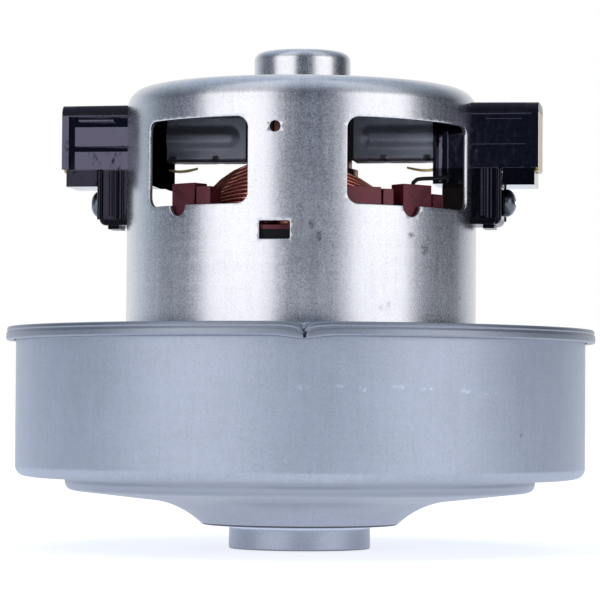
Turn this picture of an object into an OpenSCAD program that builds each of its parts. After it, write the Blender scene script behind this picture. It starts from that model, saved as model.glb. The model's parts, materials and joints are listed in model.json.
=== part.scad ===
// Vacuum cleaner motor unit: a series motor in a drawn can, over a one-stage fan in a pressed cover.
// The shaft is the Z axis, the brushes lie along X and the field poles along Y.
// The origin is on the axis, at the open end of the inlet collar.

/* [Motor can] */
// Outside diameter of the can
can_d = 80.4; // [79:0.1:84]
// Height of the can above its flange
can_h = 54.9; // [53:0.1:58]
// Outside radius of the can's shoulder
shoulder_r = 4.5; // [3:0.1:6]
// Sheet thickness of the can, its flange and its rim
housing_t = 1.0; // [0.8:0.05:1.1]
// Outside diameter of the closed bearing cup on the can
boss_d = 22.2; // [22:0.1:24]
// Height of the bearing cup above the can
boss_h = 8.9; // [8.6:0.1:10]
// Outside radius of the bearing cup's top edge
boss_edge_r = 2.0; // [1.2:0.1:2.2]
// Outside diameter of the rolled rim
rim_d = 135; // [133.5:0.1:138]
// Height of the rolled rim
rim_h = 3.0; // [2.9:0.05:3.4]
// Depth of the crimp mark in the rim
crimp_depth = 0.8; // [0.4:0.1:0.9]
// Place of the crimp mark, as an angle from the front
crimp_at = 9; // [-20:1:20]

/* [Can openings] */
// Height of the window sills above the flange
sill_h = 26.5; // [25:0.1:28]
// Height of the windows
window_h = 19.0; // [17:0.1:20]
// Width of the wide windows
wide_w = 36.2; // [32:0.1:37]
// Place of the wide window's middle, as an angle from the front
wide_at = 49.6; // [48:0.1:50]
// Width of the narrow windows
narrow_w = 28.1; // [24:0.1:30]
// Place of the narrow window's middle, as an angle from the front
narrow_at = -29.2; // [-31:0.1:-28]
// Corner radius of the windows
window_r = 2.4; // [1:0.1:3]
// Diameter of the half-round notch in each sill
notch_d = 4.8; // [3:0.1:6]
// Shift of the notch from the middle of a wide window
wide_notch = -2.7; // [-6:0.1:6]
// Shift of the notch from the middle of a narrow window
narrow_notch = -3.8; // [-6:0.1:6]
// Diameter of the small hole in the front of the can
pin_hole_d = 2.4; // [1.5:0.1:4]
// Height of the small hole above the flange
pin_hole_h = 43.2; // [40:0.1:46]
// Width of the slot in the front of the can
slot_w = 6.8; // [4:0.1:8]
// Height of the slot itself
slot_h = 3.9; // [2:0.1:5]
// Height of the slot's middle above the flange
slot_at = 20.6; // [17:0.1:22]

/* [Fan cover] */
// Sheet thickness of the cover
cover_t = 0.9; // [0.7:0.05:0.95]
// Outside diameter of the cup
cup_d = 130.5; // [129:0.1:131.5]
// Height from the cup's floor to the top of the can's flange
cup_h = 34.0; // [33:0.1:38]
// Outside radius between the cup's floor and its wall
cup_edge_r = 2.7; // [1.5:0.1:4]
// Outside diameter of the step under the cup's floor
step_d = 107.8; // [104:0.1:112]
// Depth of the step
step_h = 2.9; // [2.6:0.1:4]
// Outside radius of the step's lower edge
step_edge_r = 2.0; // [1.2:0.1:2.2]
// Rise of the dished floor from the flare's knee to the step
dish_h = 2.9; // [2:0.1:4]
// Diameter at the knee of the flare
knee_d = 56.4; // [54:0.1:60]
// Height of the flare from its lower edge to its knee
flare_h = 5.0; // [4.4:0.1:5.6]
// Outside radius of the flare
flare_r = 20; // [12:0.5:22]
// Diameter of the flare's lower edge
throat_d = 44.4; // [43:0.1:46]
// Outside diameter of the inlet collar
collar_d = 32.3; // [31.8:0.1:34]
// Length of the inlet collar
collar_h = 5.4; // [5:0.1:7]
// Outside radius between the collar and the flare's lower edge
cove_r = 1.0; // [0.5:0.1:1.5]

/* [Brush gear] */
// Height of the brush axis above the flange
brush_at = 44.0; // [43.5:0.1:45]
// Width of a brush tube
tube_w = 8.0; // [7:0.1:9]
// Height of a brush tube
tube_h = 11.0; // [10:0.1:11.2]
// Wall of a brush tube
tube_t = 0.6; // [0.4:0.05:0.8]
// Distance of a tube's outer end from the shaft axis
tube_reach = 54.1; // [53:0.1:57]
// Gap between a tube and the commutator
tube_gap = 0.9; // [0.6:0.1:1.5]
// Height of the bead that is pressed into a tube's sides
bead_h = 5.5; // [4:0.1:7]
// Depth of that bead
bead_depth = 0.9; // [0.5:0.1:1]
// Length of a new carbon brush
brush_l = 24; // [18:0.5:25]
// Outside diameter of a brush spring
spring_d = 5.4; // [4:0.1:5.6]
// Wire diameter of a brush spring
spring_wire_d = 0.6; // [0.4:0.05:0.7]
// Curls of a brush spring
spring_curls = 7; // [5:1:9]
// Height of the holder's outer block
block_h = 14.9; // [14.6:0.1:17]
// Width of the holder's outer block
block_w = 15.0; // [14:0.1:17]
// Distance from the block's top to the brush axis
block_top = 7.5; // [7:0.1:9.5]
// Length of the holder's neck inside the can, from the can's outside
neck_l = 9.2; // [7:0.1:10]
// Side wall of the neck
neck_wall = 2.2; // [1.5:0.1:2.6]
// Wall of the neck over the tube
neck_roof = 0.75; // [0.6:0.05:0.8]
// Depth of the neck under the tube
neck_drop = 5.5; // [4:0.1:6]
// Thickness of the holder's leg
leg_t = 6.3; // [4.5:0.1:7]
// Width of the holder's leg
leg_w = 13.0; // [11:0.1:14]
// Length of the leg below the block
leg_h = 12.8; // [12:0.1:15]
// Height of the block under the outer end
underblock_h = 3.9; // [3:0.1:5]
// Length of the block under the outer end
underblock_l = 7.2; // [6:0.1:8]
// Height of the holder screw above the lower end of the leg
screw_at = 5.2; // [4.5:0.1:7]
// Diameter of the holder screw
screw_d = 3.0; // [2.5:0.1:3.5]
// Diameter of the holder screw's head
screw_head_d = 6.3; // [5.5:0.1:7]
// Height of the holder screw's head
screw_head_h = 3.0; // [2:0.1:3.2]
// Thickness of the brass end plate
plate_t = 0.9; // [0.6:0.1:1.2]
// Width of the brass end plate
plate_w = 11; // [10:0.1:12]
// Height of the brass end plate
plate_h = 13.8; // [12:0.1:14]
// Length of the pointed contact blade
blade_l = 6.2; // [4:0.1:7]

/* [Field] */
// Height of the laminated stacks
stack_h = 19; // [17:0.1:19.5]
// Height of the stacks' lower face above the flange
stack_at = 1.8; // [1.5:0.1:3]
// Radial depth of the field yoke
yoke_t = 5.6; // [5:0.1:6]
// Width of a pole's body
pole_w = 30; // [26:0.5:32]
// Half angle of a pole's shoe
shoe_angle = 55; // [50:1:58]
// Thickness of a pole's shoe
shoe_t = 2.8; // [2:0.1:3.2]
// Diameter of the field wire
wire_d = 0.7; // [0.5:0.05:0.75]
// Loops in the outer layer of a field coil
coil_loops = 10; // [6:1:10]
// Width over a coil's longest loop
coil_span = 58; // [57:0.1:59]
// Height of the highest end turn above the stack
coil_rise = 16.1; // [14:0.1:16.3]
// Depth of the coil bundle behind the outer layer
bundle_t = 3.2; // [2:0.1:3.6]
// Thickness of the coil former's plates and walls
former_t = 1.0; // [0.7:0.1:1.2]
// Height of the terminal pockets above the former's plate
pocket_h = 9.6; // [7:0.1:10]
// Radial depth of the terminal pockets
pocket_t = 4.4; // [3.4:0.1:4.6]
// Diameter of the lead wires
lead_d = 0.9; // [0.6:0.1:1.2]

/* [Rotor] */
// Diameter of the armature stack
armature_d = 37; // [35:0.1:37.4]
// Air gap between the armature and the pole shoes
air_gap = 0.5; // [0.4:0.05:0.7]
// Slots in the armature
armature_slots = 11; // [9:1:13]
// Width of a slot's mouth
slot_mouth = 2.0; // [1.4:0.1:2.4]
// Thickness of the armature's end discs
end_disc_t = 1.2; // [0.8:0.1:1.6]
// Diameter of the commutator
comm_d = 23.2; // [22:0.1:24]
// Radial depth of the commutator bars
bar_t = 2.0; // [1.5:0.1:2.4]
// Gap between the bars
bar_gap = 0.5; // [0.3:0.05:0.8]
// Reach of the wire hooks beyond the bars
hook_t = 1.4; // [0.8:0.1:1.6]
// Height of the wire hooks
hook_h = 2.0; // [1.5:0.1:2.4]
// Diameter of the shaft in the armature
shaft_d = 10; // [9.4:0.1:11]

/* [Bearings] */
// Bore of the upper bearing
upper_bore = 7; // [6.6:0.1:7.4]
// Outside diameter of the upper bearing
upper_od = 19; // [18.6:0.1:19.4]
// Width of the upper bearing
upper_w = 6; // [6:0.1:6.4]
// Ball diameter of the upper bearing
upper_ball = 3.5; // [3.3:0.1:3.6]
// Bore of the lower bearing
lower_bore = 8; // [7.6:0.1:8.4]
// Outside diameter of the lower bearing
lower_od = 22; // [21.6:0.1:22.6]
// Width of the lower bearing
lower_w = 7; // [7:0.1:7.4]
// Ball diameter of the lower bearing
lower_ball = 4; // [3.8:0.1:4.1]
// Balls in each bearing
balls = 7; // [6:1:7]
// Height of the waved washer over the upper bearing
wave_h = 1.3; // [1:0.05:1.5]

/* [Fan] */
// Outside diameter of the impeller
impeller_d = 112; // [108:0.5:113]
// Blades of the impeller
blade_count = 9; // [7:1:11]
// Sheet thickness of the impeller's discs
disc_t = 0.9; // [0.7:0.05:1.2]
// Thickness of the impeller's blades
blade_t = 0.8; // [0.6:0.05:1]
// Diameter of the impeller's eye
eye_d = 33.6; // [32:0.1:35]
// Running gap between the impeller and the cover's floor
fan_gap = 2.5; // [2:0.1:3]
// Running gap between the impeller and the diffuser
disc_gap = 1.6; // [1.2:0.1:2.2]
// Thickness of the diffuser's plate
diffuser_t = 1.6; // [1.2:0.1:2]
// Vanes on each side of the diffuser
vane_count = 12; // [8:1:16]
// Thickness of a vane
vane_t = 1.2; // [0.9:0.1:1.5]
// Depth of the bearing bracket from its rim to its floor
bracket_h = 13.4; // [13:0.1:15]
// Thickness of the bearing bracket
bracket_t = 1.4; // [1.1:0.1:1.8]
// Across flats of the shaft nut
nut_af = 13; // [11:0.5:14]
// Height of the shaft nut
nut_h = 5; // [4:0.5:6]

/* [Fits] */
// Clearance between pieces that are fitted together
fit = 0.05; // [0.02:0.01:0.08]
// Clearance of pieces that slide or turn in one another
run_fit = 0.06; // [0.04:0.01:0.09]
// Free space round moving pieces
free_gap = 0.3; // [0.3:0.05:0.5]

/* [Hidden] */
$fn = 96;

// Heights along the shaft, upward from the inlet end
knee_z = collar_h + flare_h;
step_z = knee_z + dish_h;
floor_z = step_z + step_h;
flange_z = floor_z + cup_h;
can_z = flange_z + can_h;
boss_z = can_z + boss_h;
rim_z = flange_z - rim_h;
under_flange_z = flange_z - housing_t;
sill_z = flange_z + sill_h;
brush_z = flange_z + brush_at;
stack_z = flange_z + stack_at;
stack_top_z = stack_z + stack_h;

// Radii that several pieces share
can_r = can_d / 2;
can_in_r = can_r - housing_t;
rim_r = rim_d / 2;
cup_r = cup_d / 2;
cup_in_r = cup_r - cover_t;
lip_bend_r = 0.3;
flange_bend_r = 0.6;
boss_bend_r = 0.5;
floor_bend_r = 0.7;
throat_bend_r = cover_t + 0.1;
eye_bend_r = 3;
comm_r = comm_d / 2;
armature_r = armature_d / 2;
bore_r = armature_r + air_gap;
impeller_r = impeller_d / 2;
eye_r = eye_d / 2;

// A bearing is its bore radius, outside radius, width, ball radius and ball circle radius
function bearing(bore, od, w, ball) = [bore / 2, od / 2, w, ball / 2, (bore + od) / 4];
upper = bearing(upper_bore, upper_od, upper_w, upper_ball);
lower = bearing(lower_bore, lower_od, lower_w, lower_ball);
upper_top_z = boss_z - housing_t - wave_h;
upper_z = upper_top_z - upper_w;
bracket_rim_z = under_flange_z - bracket_t;
bracket_floor_z = bracket_rim_z + bracket_t - bracket_h;
lower_z = bracket_floor_z + bracket_t;
lower_top_z = lower_z + lower_w;

// The commutator runs from under the brushes to the spacer below the upper bearing
upper_spacer_h = 3.6;
comm_top_z = upper_z - upper_spacer_h;
hook_gap = 2.6;
comm_z = brush_z - tube_h / 2 - hook_h - hook_gap;
winding_gap = 0.5;

// Turned and bent sections of the fan
diffuser_boss_h = 0.6;
diffuser_top_z = bracket_floor_z - diffuser_boss_h;
diffuser_z = diffuser_top_z - diffuser_t;
back_disc_top_z = diffuser_z - disc_gap;
back_disc_z = back_disc_top_z - disc_t;
front_disc_rim_z = floor_z + cover_t + fan_gap;
seal_z = collar_h + cover_t;
seal_h = 2.4;
neck_gap = 0.8;
front_disc_eye_z = seal_z + neck_gap;
eye_h = 4.4;
front_disc_knee_z = front_disc_eye_z + eye_h;
washer_h = 1.2;
washer_reach = 4;
washer_r = lower_bore / 2 + washer_reach;
nut_z = back_disc_z - washer_h - nut_h;
shaft_tail = 2;
shaft_end_z = nut_z - shaft_tail;

// The holder's block, leg and neck
plate_rise = 0.3;
block_top_z = brush_z + block_top;
block_z = block_top_z - block_h;
leg_z = block_z - leg_h;
screw_z = leg_z + screw_at;
neck_w = tube_w + 2 * neck_wall;
neck_top_z = brush_z + tube_h / 2 + fit + neck_roof;
neck_z = brush_z - tube_h / 2 - neck_drop;
neck_x = can_r - neck_l;
block_x = tube_reach + plate_t;
plate_top_z = brush_z + tube_h / 2 + plate_rise;
tube_x = comm_r + tube_gap;
brush_x = comm_r + run_fit;
brush_w = tube_w - 2 * (tube_t + run_fit);
brush_h = tube_h - 2 * (tube_t + run_fit);
spring_x = brush_x + brush_l;

// Bars and grooves on the sides of the holder's block
top_bar_h = 2.6;
upper_groove_h = 2.5;
rib_h = 4.4;
lower_groove_h = 1.3;
groove_depth = 1.3;
end_bar_t = 1.6;
end_groove_w = 1.4;
wall_sink = 2;
leg_edge_r = 1.6;
neck_lap = 3;

// Terminal pockets of a coil former: the angles where a pocket starts, splits and ends,
// how far its lower part lies under its top, and how far its top lies under the highest
pocket_out_r = can_in_r - free_gap;
pocket_in_r = pocket_out_r - pocket_t;
near_pocket = [21.6, 35.5, 39.7, 0.3, 1];
far_pocket = [43.6, 56.6, 62.7, 1.8, 0];
line_pocket = [-39.1, -28.5, -22.6, 0.9, 0];
split_half = 0.4;
pocket_wall = 1.2;
pocket_end = 3;
recess_h = 3.5;
former_angle = 43;

// The outer layer of a field coil, from its lowest and longest loop to its highest and shortest:
// the shares are how much of the wire's pitch each loop moves in, back, up and down
wire_gap = 0.5;
wire_pitch = wire_d + wire_gap;
last_loop = coil_loops - 1;
span_share = 0.42;
reach_share = 0.6;
crown_share = 0.87;
keel_share = 0.8;
coil_reach = pocket_in_r - free_gap - wire_d;
coil_side = coil_span / 4;
keel_drop = 3.2;
arc_points = 10;
sides = 6;

// Helpers for bent sheet
bend_step = 6;
function xy(p) = [p.x, p.y];
function unit(v) = v / norm(v);
function left_of(v) = [-v.y, v.x];
function turned(v, a) = [v.x * cos(a) - v.y * sin(a), v.x * sin(a) + v.y * cos(a)];
function upright(v) = abs(v.x * v.y) < 0.000001;
function heading(p, i) = unit(xy(p[i + 1]) - xy(p[i]));
function turn(p, i) = let (u = heading(p, i - 1), v = heading(p, i)) atan2(cross(u, v), u * v);
function tangent(p, i) = p[i][2] * tan(abs(turn(p, i)) / 2);
function bends(p, i) = i > 0 && i < len(p) - 1;
function run_start(p, i) = xy(p[i]) + (bends(p, i) ? heading(p, i) * tangent(p, i) : [0, 0]);
function run_end(p, i) = xy(p[i + 1]) - (bends(p, i + 1) ? heading(p, i) * tangent(p, i + 1) : [0, 0]);
function bend_centre(p, i) = run_end(p, i - 1) + left_of(heading(p, i - 1)) * p[i][2] * sign(turn(p, i));

// Section of a sheet: corners along its outer face, each with its bend radius, the sheet to their left
module bent_sheet(p, t) {
    for (i = [0 : len(p) - 2]) {
        a = run_start(p, i);
        b = run_end(p, i);
        side = left_of(heading(p, i)) * t;
        if (norm(b - a) > 0.001) polygon([a, b, b + side, a + side]);
    }
    for (i = [1 : len(p) - 2])
        if (upright(heading(p, i - 1)) && upright(heading(p, i))) square_bend(p, i, t);
        else slanted_bend(p, i, t);
}

module square_bend(p, i, t) {
    inward = sign(turn(p, i));
    r = p[i][2];
    centre = bend_centre(p, i);
    reach = 4 * (r + t);
    intersection() {
        translate(centre) difference() {
            circle(inward > 0 ? r : r + t);
            circle(inward > 0 ? r - t : r);
        }
        polygon([centre, for (q = [run_end(p, i - 1), xy(p[i]), run_start(p, i)])
            centre + unit(q - centre) * reach]);
    }
}

// A bend beside a slanted run, with its round in short steps so that it meets the run at the same points
module slanted_bend(p, i, t) {
    a = run_end(p, i - 1);
    b = run_start(p, i);
    centre = bend_centre(p, i);
    steps = max(2, ceil(abs(turn(p, i)) / bend_step));
    fan = [for (k = [1 : steps - 1]) turned(a - centre, turn(p, i) * k / steps)];
    inner = 1 - sign(turn(p, i)) * t / p[i][2];
    polygon([a, for (f = fan) centre + f, b, b + left_of(heading(p, i)) * t,
        for (k = [len(fan) - 1 : -1 : 0]) centre + fan[k] * inner, a + left_of(heading(p, i - 1)) * t]);
}

// Rectangle with round corners, about its middle
module round_rect(w, h, r) {
    square([w - 2 * r, h], center = true);
    square([w, h - 2 * r], center = true);
    for (x = [-1, 1], y = [-1, 1]) translate([x * (w / 2 - r), y * (h / 2 - r)]) circle(r);
}

module ring(r_out, r_in, h) {
    linear_extrude(h) difference() {
        circle(r_out);
        circle(r_in);
    }
}

module both_ends() {
    children();
    rotate([0, 0, 180]) children();
}

// A tool that goes through the can's wall at an angle from the front
module punch(angle) {
    depth = can_r / 4;
    rotate([90, 0, angle]) translate([0, 0, can_r - depth]) linear_extrude(2 * depth) children();
}

// Tubes: a path of points, each with a direction across the path
function across(path, i) =
    let (t = along(path, i), d = path[i][1])
    unit(d - (d * t) * t);
function along(path, i) = unit(path[min(i + 1, len(path) - 1)][0] - path[max(i - 1, 0)][0]);
function tube_points(path, r) = [
    for (i = [0 : len(path) - 1])
        let (u = across(path, i), v = cross(along(path, i), u))
        for (s = [0 : sides - 1])
            path[i][0] + r * (cos(s * 360 / sides) * u + sin(s * 360 / sides) * v)];
function tube_faces(n) = concat(
    [for (s = [1 : sides - 2]) [0, s, s + 1]],
    [for (i = [0 : n - 2], s = [0 : sides - 1], half = [0, 1])
        let (a = i * sides + s, b = i * sides + (s + 1) % sides)
        half == 0 ? [a, b + sides, b] : [a, a + sides, b + sides]],
    [for (s = [1 : sides - 2]) let (e = (n - 1) * sides) [e, e + s + 1, e + s]]);

module tube(path, d) {
    polyhedron(points = tube_points(path, d / 2), faces = tube_faces(len(path)));
}

// Least distance of a path to its own stretches that are more than some points away
function to_run(p, a, b) =
    let (run = b - a, s = max(0, min(1, ((p - a) * run) / (run * run))))
    norm(p - a - s * run);
function least_gap(path, apart, d) = min([
    for (i = [0 : len(path) - 1], j = [i + apart : len(path) - 2])
        to_run(path[i][0], path[j][0], path[j + 1][0])]) - d;

// Points of the outer layer of the front field coil, where k counts the loops
function loop_span(k) = coil_span / 2 - k * wire_pitch * span_share;
function loop_side(k) = coil_side - k * wire_pitch;
function loop_reach(k) = coil_reach - k * wire_pitch * reach_share;
function loop_crown(k) = stack_top_z + coil_rise - (last_loop - k) * wire_pitch * crown_share;
function loop_keel(k) = stack_z - keel_drop - k * wire_pitch * keel_share;
function end_turn(k, a, level, crown) = [
    -loop_span(k) * cos(a),
    -loop_side(k) - (loop_reach(k) - loop_side(k)) * pow(sin(a), 2),
    level + (crown - level) * sin(a)];
function upper_turn(k, a) = end_turn(k, a, stack_top_z, loop_crown(k));
function lower_turn(k, a) = end_turn(k, 180 - a, stack_z, loop_keel(k));
function slot_end(k, side) = [side * loop_span(k), -loop_side(k), stack_z + stack_h / 2];
function coil_path() = concat(
    [[slot_end(0, -1), slot_end(1, -1) - slot_end(0, -1)]],
    [for (k = [0 : last_loop]) each concat(
        [for (i = [0 : arc_points])
            let (a = 180 * i / arc_points)
            [upper_turn(k, a), upper_turn(k + 1, a) - upper_turn(k, a)]],
        k == last_loop ? [] : [for (i = [0 : arc_points])
            let (a = 180 * i / arc_points, kk = k + i / arc_points)
            [lower_turn(kk, a), lower_turn(kk + 1, a) - lower_turn(kk, a)]])],
    [[slot_end(last_loop, 1), slot_end(last_loop + 1, 1) - slot_end(last_loop, 1)]]);

// Section of the bundle behind the outer layer at one place along an end turn
bundle_gap = 0.2;
bundle_inset = wire_d / 2 + bundle_gap;
function behind(p, ahead, next, depth) = p - unit(cross(ahead, next)) * depth;
function upper_bundle(k, a, depth) =
    let (p = behind(upper_turn(k, a), upper_turn(k, a + 1) - upper_turn(k, a - 1),
        upper_turn(k + 1, a) - upper_turn(k, a), depth))
    [p.x, p.y, max(p.z, stack_top_z + former_t + fit)];
function lower_bundle(k, a, depth) =
    let (p = behind(lower_turn(k, a), lower_turn(k, a + 1) - lower_turn(k, a - 1),
        lower_turn(k + 1, a) - lower_turn(k, a), depth))
    [p.x, p.y, min(p.z, stack_z - former_t - fit)];
function side_bundle(k, side, depth) =
    let (across_loops = xy(slot_end(1, side) - slot_end(0, side)), d = unit(left_of(across_loops)) * side)
    xy(slot_end(k, side)) + d * depth;

module swept(rings) {
    n = len(rings);
    m = len(rings[0]);
    end = (n - 1) * m;
    faces = concat(
        [for (s = [1 : m - 2]) [0, s + 1, s]],
        [for (i = [0 : n - 2], s = [0 : m - 1], half = [0, 1])
            let (a = m * i + s, b = m * i + (s + 1) % m)
            half == 0 ? [a, b, b + m] : [a, b + m, a + m]],
        [for (s = [1 : m - 2]) [end, end + s, end + s + 1]]);
    polyhedron(points = [for (r = rings) each r], faces = faces);
}

// Housing

module motor_housing() {
    section = [[cup_r + lip_bend_r + fit, rim_z, 0], [rim_r, rim_z, rim_h / 2], [rim_r, flange_z, rim_h / 2],
        [can_r, flange_z, flange_bend_r], [can_r, can_z, shoulder_r], [boss_d / 2, can_z, boss_bend_r],
        [boss_d / 2, boss_z, boss_edge_r], [0, boss_z, 0]];
    color("silver") difference() {
        rotate_extrude() bent_sheet(section, housing_t);
        both_ends() {
            punch(wide_at) window(wide_w, wide_notch);
            punch(narrow_at) window(narrow_w, narrow_notch);
            punch(0) translate([0, flange_z + pin_hole_h]) circle(d = pin_hole_d);
            punch(0) translate([0, flange_z + slot_at]) square([slot_w, slot_h], center = true);
            punch(90) translate([0, (neck_top_z + neck_z) / 2])
                square([neck_w + 2 * fit, neck_top_z - neck_z + 2 * fit], center = true);
            punch(90) translate([0, screw_z]) circle(d = screw_d + 2 * fit);
        }
        crimp_mark();
    }
}

module window(w, notch) {
    translate([0, sill_z + window_h / 2]) round_rect(w, window_h, window_r);
    translate([notch, sill_z]) circle(d = notch_d);
}

module crimp_mark() {
    mouth_share = 1.4;
    tip_r = 0.05;
    rotate([0, 0, crimp_at]) translate([0, -rim_r, flange_z - rim_h / 2]) rotate([-90, 0, 0])
        translate([0, 0, -tip_r])
        cylinder(h = crimp_depth + tip_r, r1 = crimp_depth * mouth_share, r2 = tip_r, $fn = 32);
}

module fan_cover() {
    lip_z = rim_z + housing_t + fit;
    section = [[collar_d / 2, 0, 0], [collar_d / 2, collar_h, cove_r],
        [throat_d / 2, collar_h, throat_bend_r], [knee_d / 2, knee_z, flare_r],
        [step_d / 2, step_z, step_edge_r], [step_d / 2, floor_z, floor_bend_r], [cup_r, floor_z, cup_edge_r],
        [cup_r, lip_z, lip_bend_r], [rim_r - rim_h / 2, lip_z, 0]];
    color("lightsteelblue") rotate_extrude() bent_sheet(section, cover_t);
}

module inlet_seal_ring() {
    lip_t = 1.2;
    rim_inset = 1.4;
    color("white") translate([0, 0, seal_z]) {
        ring(eye_r + free_gap + lip_t, eye_r + free_gap, seal_h);
        ring(throat_d / 2 - rim_inset, eye_r + free_gap, neck_gap);
    }
}

// Fan

// One curved blade of a fan, from an inner to an outer radius, on a circle through the axis
module fan_blade(r_in, r_out, t, curl_r) {
    intersection() {
        difference() {
            circle(r_out);
            circle(r_in);
        }
        translate([curl_r, 0]) difference() {
            circle(curl_r + t / 2);
            circle(curl_r - t / 2);
        }
        square(2 * r_out);
    }
}

function front_disc() = [[eye_r, front_disc_eye_z, 0], [eye_r, front_disc_knee_z, eye_bend_r],
    [impeller_r, front_disc_rim_z, 0]];

module impeller_front_disc() {
    color("gainsboro") rotate_extrude() bent_sheet(front_disc(), disc_t);
}

module impeller_back_disc() {
    color("gainsboro") translate([0, 0, back_disc_z]) ring(impeller_r, lower_bore / 2 + fit, disc_t);
}

module impeller_blades() {
    eye_inset = 1.5;
    rim_inset = 1;
    curl_share = 0.54;
    lead_in = 2;
    nose_h = 1.5;
    lift = 0.03;
    inner_r = eye_r + eye_inset;
    outer_r = impeller_r - rim_inset;
    rise = (front_disc_rim_z - front_disc_knee_z) / (impeller_r - eye_r);
    knee_top = front_disc_knee_z + disc_t + rise * (inner_r + lead_in - eye_r);
    color("silver") intersection() {
        translate([0, 0, front_disc_eye_z]) linear_extrude(back_disc_z - front_disc_eye_z)
            for (i = [0 : blade_count - 1]) rotate(i * 360 / blade_count)
                fan_blade(inner_r, outer_r, blade_t, impeller_r * curl_share);
        rotate_extrude() polygon([
            [inner_r - lead_in, back_disc_z - lift], [impeller_r, back_disc_z - lift],
            [impeller_r, front_disc_rim_z + disc_t * sqrt(1 + rise * rise) + lift],
            [inner_r + lead_in, knee_top + 4 * lift], [inner_r - lead_in, knee_top + nose_h]]);
    }
}

module diffuser() {
    rim_gap = 3.4;
    hub_gap = 6;
    hub_band = 4;
    vane_inset = 1;
    vane_gap = 1.5;
    curl_share = 0.62;
    plate_r = cup_in_r - rim_gap;
    hub_r = washer_r + hub_gap;
    return_in_r = can_in_r - vane_inset;
    return_out_r = plate_r - vane_inset;
    middle_z = diffuser_z + diffuser_t / 2;
    curl_r = cup_r * curl_share;
    color("dimgray") {
        translate([0, 0, diffuser_z]) ring(plate_r, hub_r, diffuser_t);
        translate([0, 0, diffuser_z]) ring(hub_r + hub_band, hub_r, diffuser_t + diffuser_boss_h);
        for (i = [0 : vane_count - 1]) rotate([0, 0, i * 360 / vane_count]) {
            translate([0, 0, middle_z]) linear_extrude(bracket_rim_z - middle_z)
                fan_blade(return_in_r, return_out_r, vane_t, curl_r);
            translate([0, 0, front_disc_rim_z]) linear_extrude(middle_z - front_disc_rim_z)
                fan_blade(impeller_r + vane_gap, cup_in_r - 2 * fit, vane_t, curl_r);
        }
    }
}

module bearing_bracket() {
    wall_r = coil_reach + wire_d / 2 + free_gap + bracket_t;
    collar_t = 1.5;
    land = 1;
    arms = 4;
    opening_angle = 66;
    opening_in_r = lower[1] + collar_t + 2 * land;
    opening_out_r = wall_r - bracket_t - land;
    color("gray") difference() {
        union() {
            translate([0, 0, bracket_floor_z]) ring(wall_r, lower[4] + land, bracket_t);
            translate([0, 0, bracket_floor_z]) ring(lower[1] + fit + collar_t, lower[1] + fit, lower_w);
            translate([0, 0, bracket_floor_z]) ring(wall_r, wall_r - bracket_t, bracket_h);
            translate([0, 0, bracket_rim_z]) ring(cup_in_r - 2 * fit, wall_r - bracket_t, bracket_t);
        }
        for (i = [0 : arms - 1]) rotate([0, 0, (i + 0.5) * 360 / arms - opening_angle / 2]) {
            translate([0, 0, bracket_floor_z - land]) rotate_extrude(angle = opening_angle)
                translate([opening_in_r, 0]) square([opening_out_r - opening_in_r, bracket_t + 2 * land]);
            translate([0, 0, bracket_floor_z + bracket_t + land]) rotate_extrude(angle = opening_angle)
                translate([opening_out_r, 0])
                square([bracket_t + 2 * land, bracket_h - 2 * bracket_t - 2 * land]);
        }
    }
}

// Field

module pole_outline() {
    intersection() {
        circle(can_in_r - fit);
        translate([-pole_w / 2, -can_r]) square([pole_w, can_r]);
    }
    intersection() {
        circle(bore_r + shoe_t);
        polygon([[0, 0], for (a = [-1 : 1]) 2 * can_r * [sin(a * shoe_angle), -cos(a * shoe_angle)]]);
    }
}

module field_core() {
    color("slategray") translate([0, 0, stack_z]) linear_extrude(stack_h) difference() {
        union() {
            difference() {
                circle(can_in_r - fit);
                circle(can_in_r - yoke_t);
            }
            both_ends() pole_outline();
        }
        circle(bore_r);
    }
}

// Outline of a ring's sector, from one angle to another, both counted from the front
module sector(r_in, r_out, from, to) {
    intersection() {
        difference() {
            circle(r_out);
            circle(r_in);
        }
        polygon([[0, 0], for (a = [from, (from + to) / 2, to]) 2 * r_out * [sin(a), -cos(a)]]);
    }
}

// A terminal pocket: a block with a recess in its top, and a lower rib beside it
module pocket(p) {
    block_end = p[1] - split_half;
    top_z = stack_top_z + former_t + pocket_h - p[4];
    foot_z = stack_top_z + former_t / 2;
    difference() {
        translate([0, 0, foot_z]) linear_extrude(top_z - foot_z)
            sector(pocket_in_r, pocket_out_r, p[0], block_end);
        translate([0, 0, top_z - recess_h]) linear_extrude(2 * recess_h)
            sector(pocket_in_r + pocket_wall, pocket_out_r - pocket_wall,
                p[0] + pocket_end, block_end - pocket_end);
    }
    translate([0, 0, foot_z]) linear_extrude(top_z - p[3] - foot_z)
        sector(pocket_in_r, pocket_out_r, p[1] + split_half, p[2]);
}

module coil_former() {
    shoe_inset = 1.2;
    rim_inset = 0.2;
    strip_inset = 0.4;
    strip_end = 2;
    plate_in_r = bore_r + shoe_inset;
    plate_out_r = pocket_out_r - rim_inset;
    strip_in_r = pocket_in_r + strip_inset;
    wall_x = pole_w / 2 + fit + former_t / 2;
    wall_z = stack_z - former_t / 2;
    wall_h = stack_h + former_t;
    color([0.45, 0.2, 0.2]) {
        translate([0, 0, stack_z - former_t]) linear_extrude(former_t)
            sector(plate_in_r, plate_out_r, -former_angle, former_angle);
        translate([0, 0, stack_top_z]) linear_extrude(former_t) {
            sector(plate_in_r, plate_out_r, -former_angle, former_angle);
            sector(strip_in_r, plate_out_r, line_pocket[0] + strip_end, far_pocket[2] - strip_end);
        }
        translate([0, 0, wall_z]) linear_extrude(wall_h) intersection() {
            for (side = [-1, 1]) translate([side * wall_x, -can_in_r / 2])
                square([former_t, can_in_r], center = true);
            difference() {
                circle(can_in_r - yoke_t - fit);
                circle(bore_r + shoe_t + fit);
            }
        }
        for (p = [near_pocket, far_pocket, line_pocket]) pocket(p);
    }
}

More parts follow.
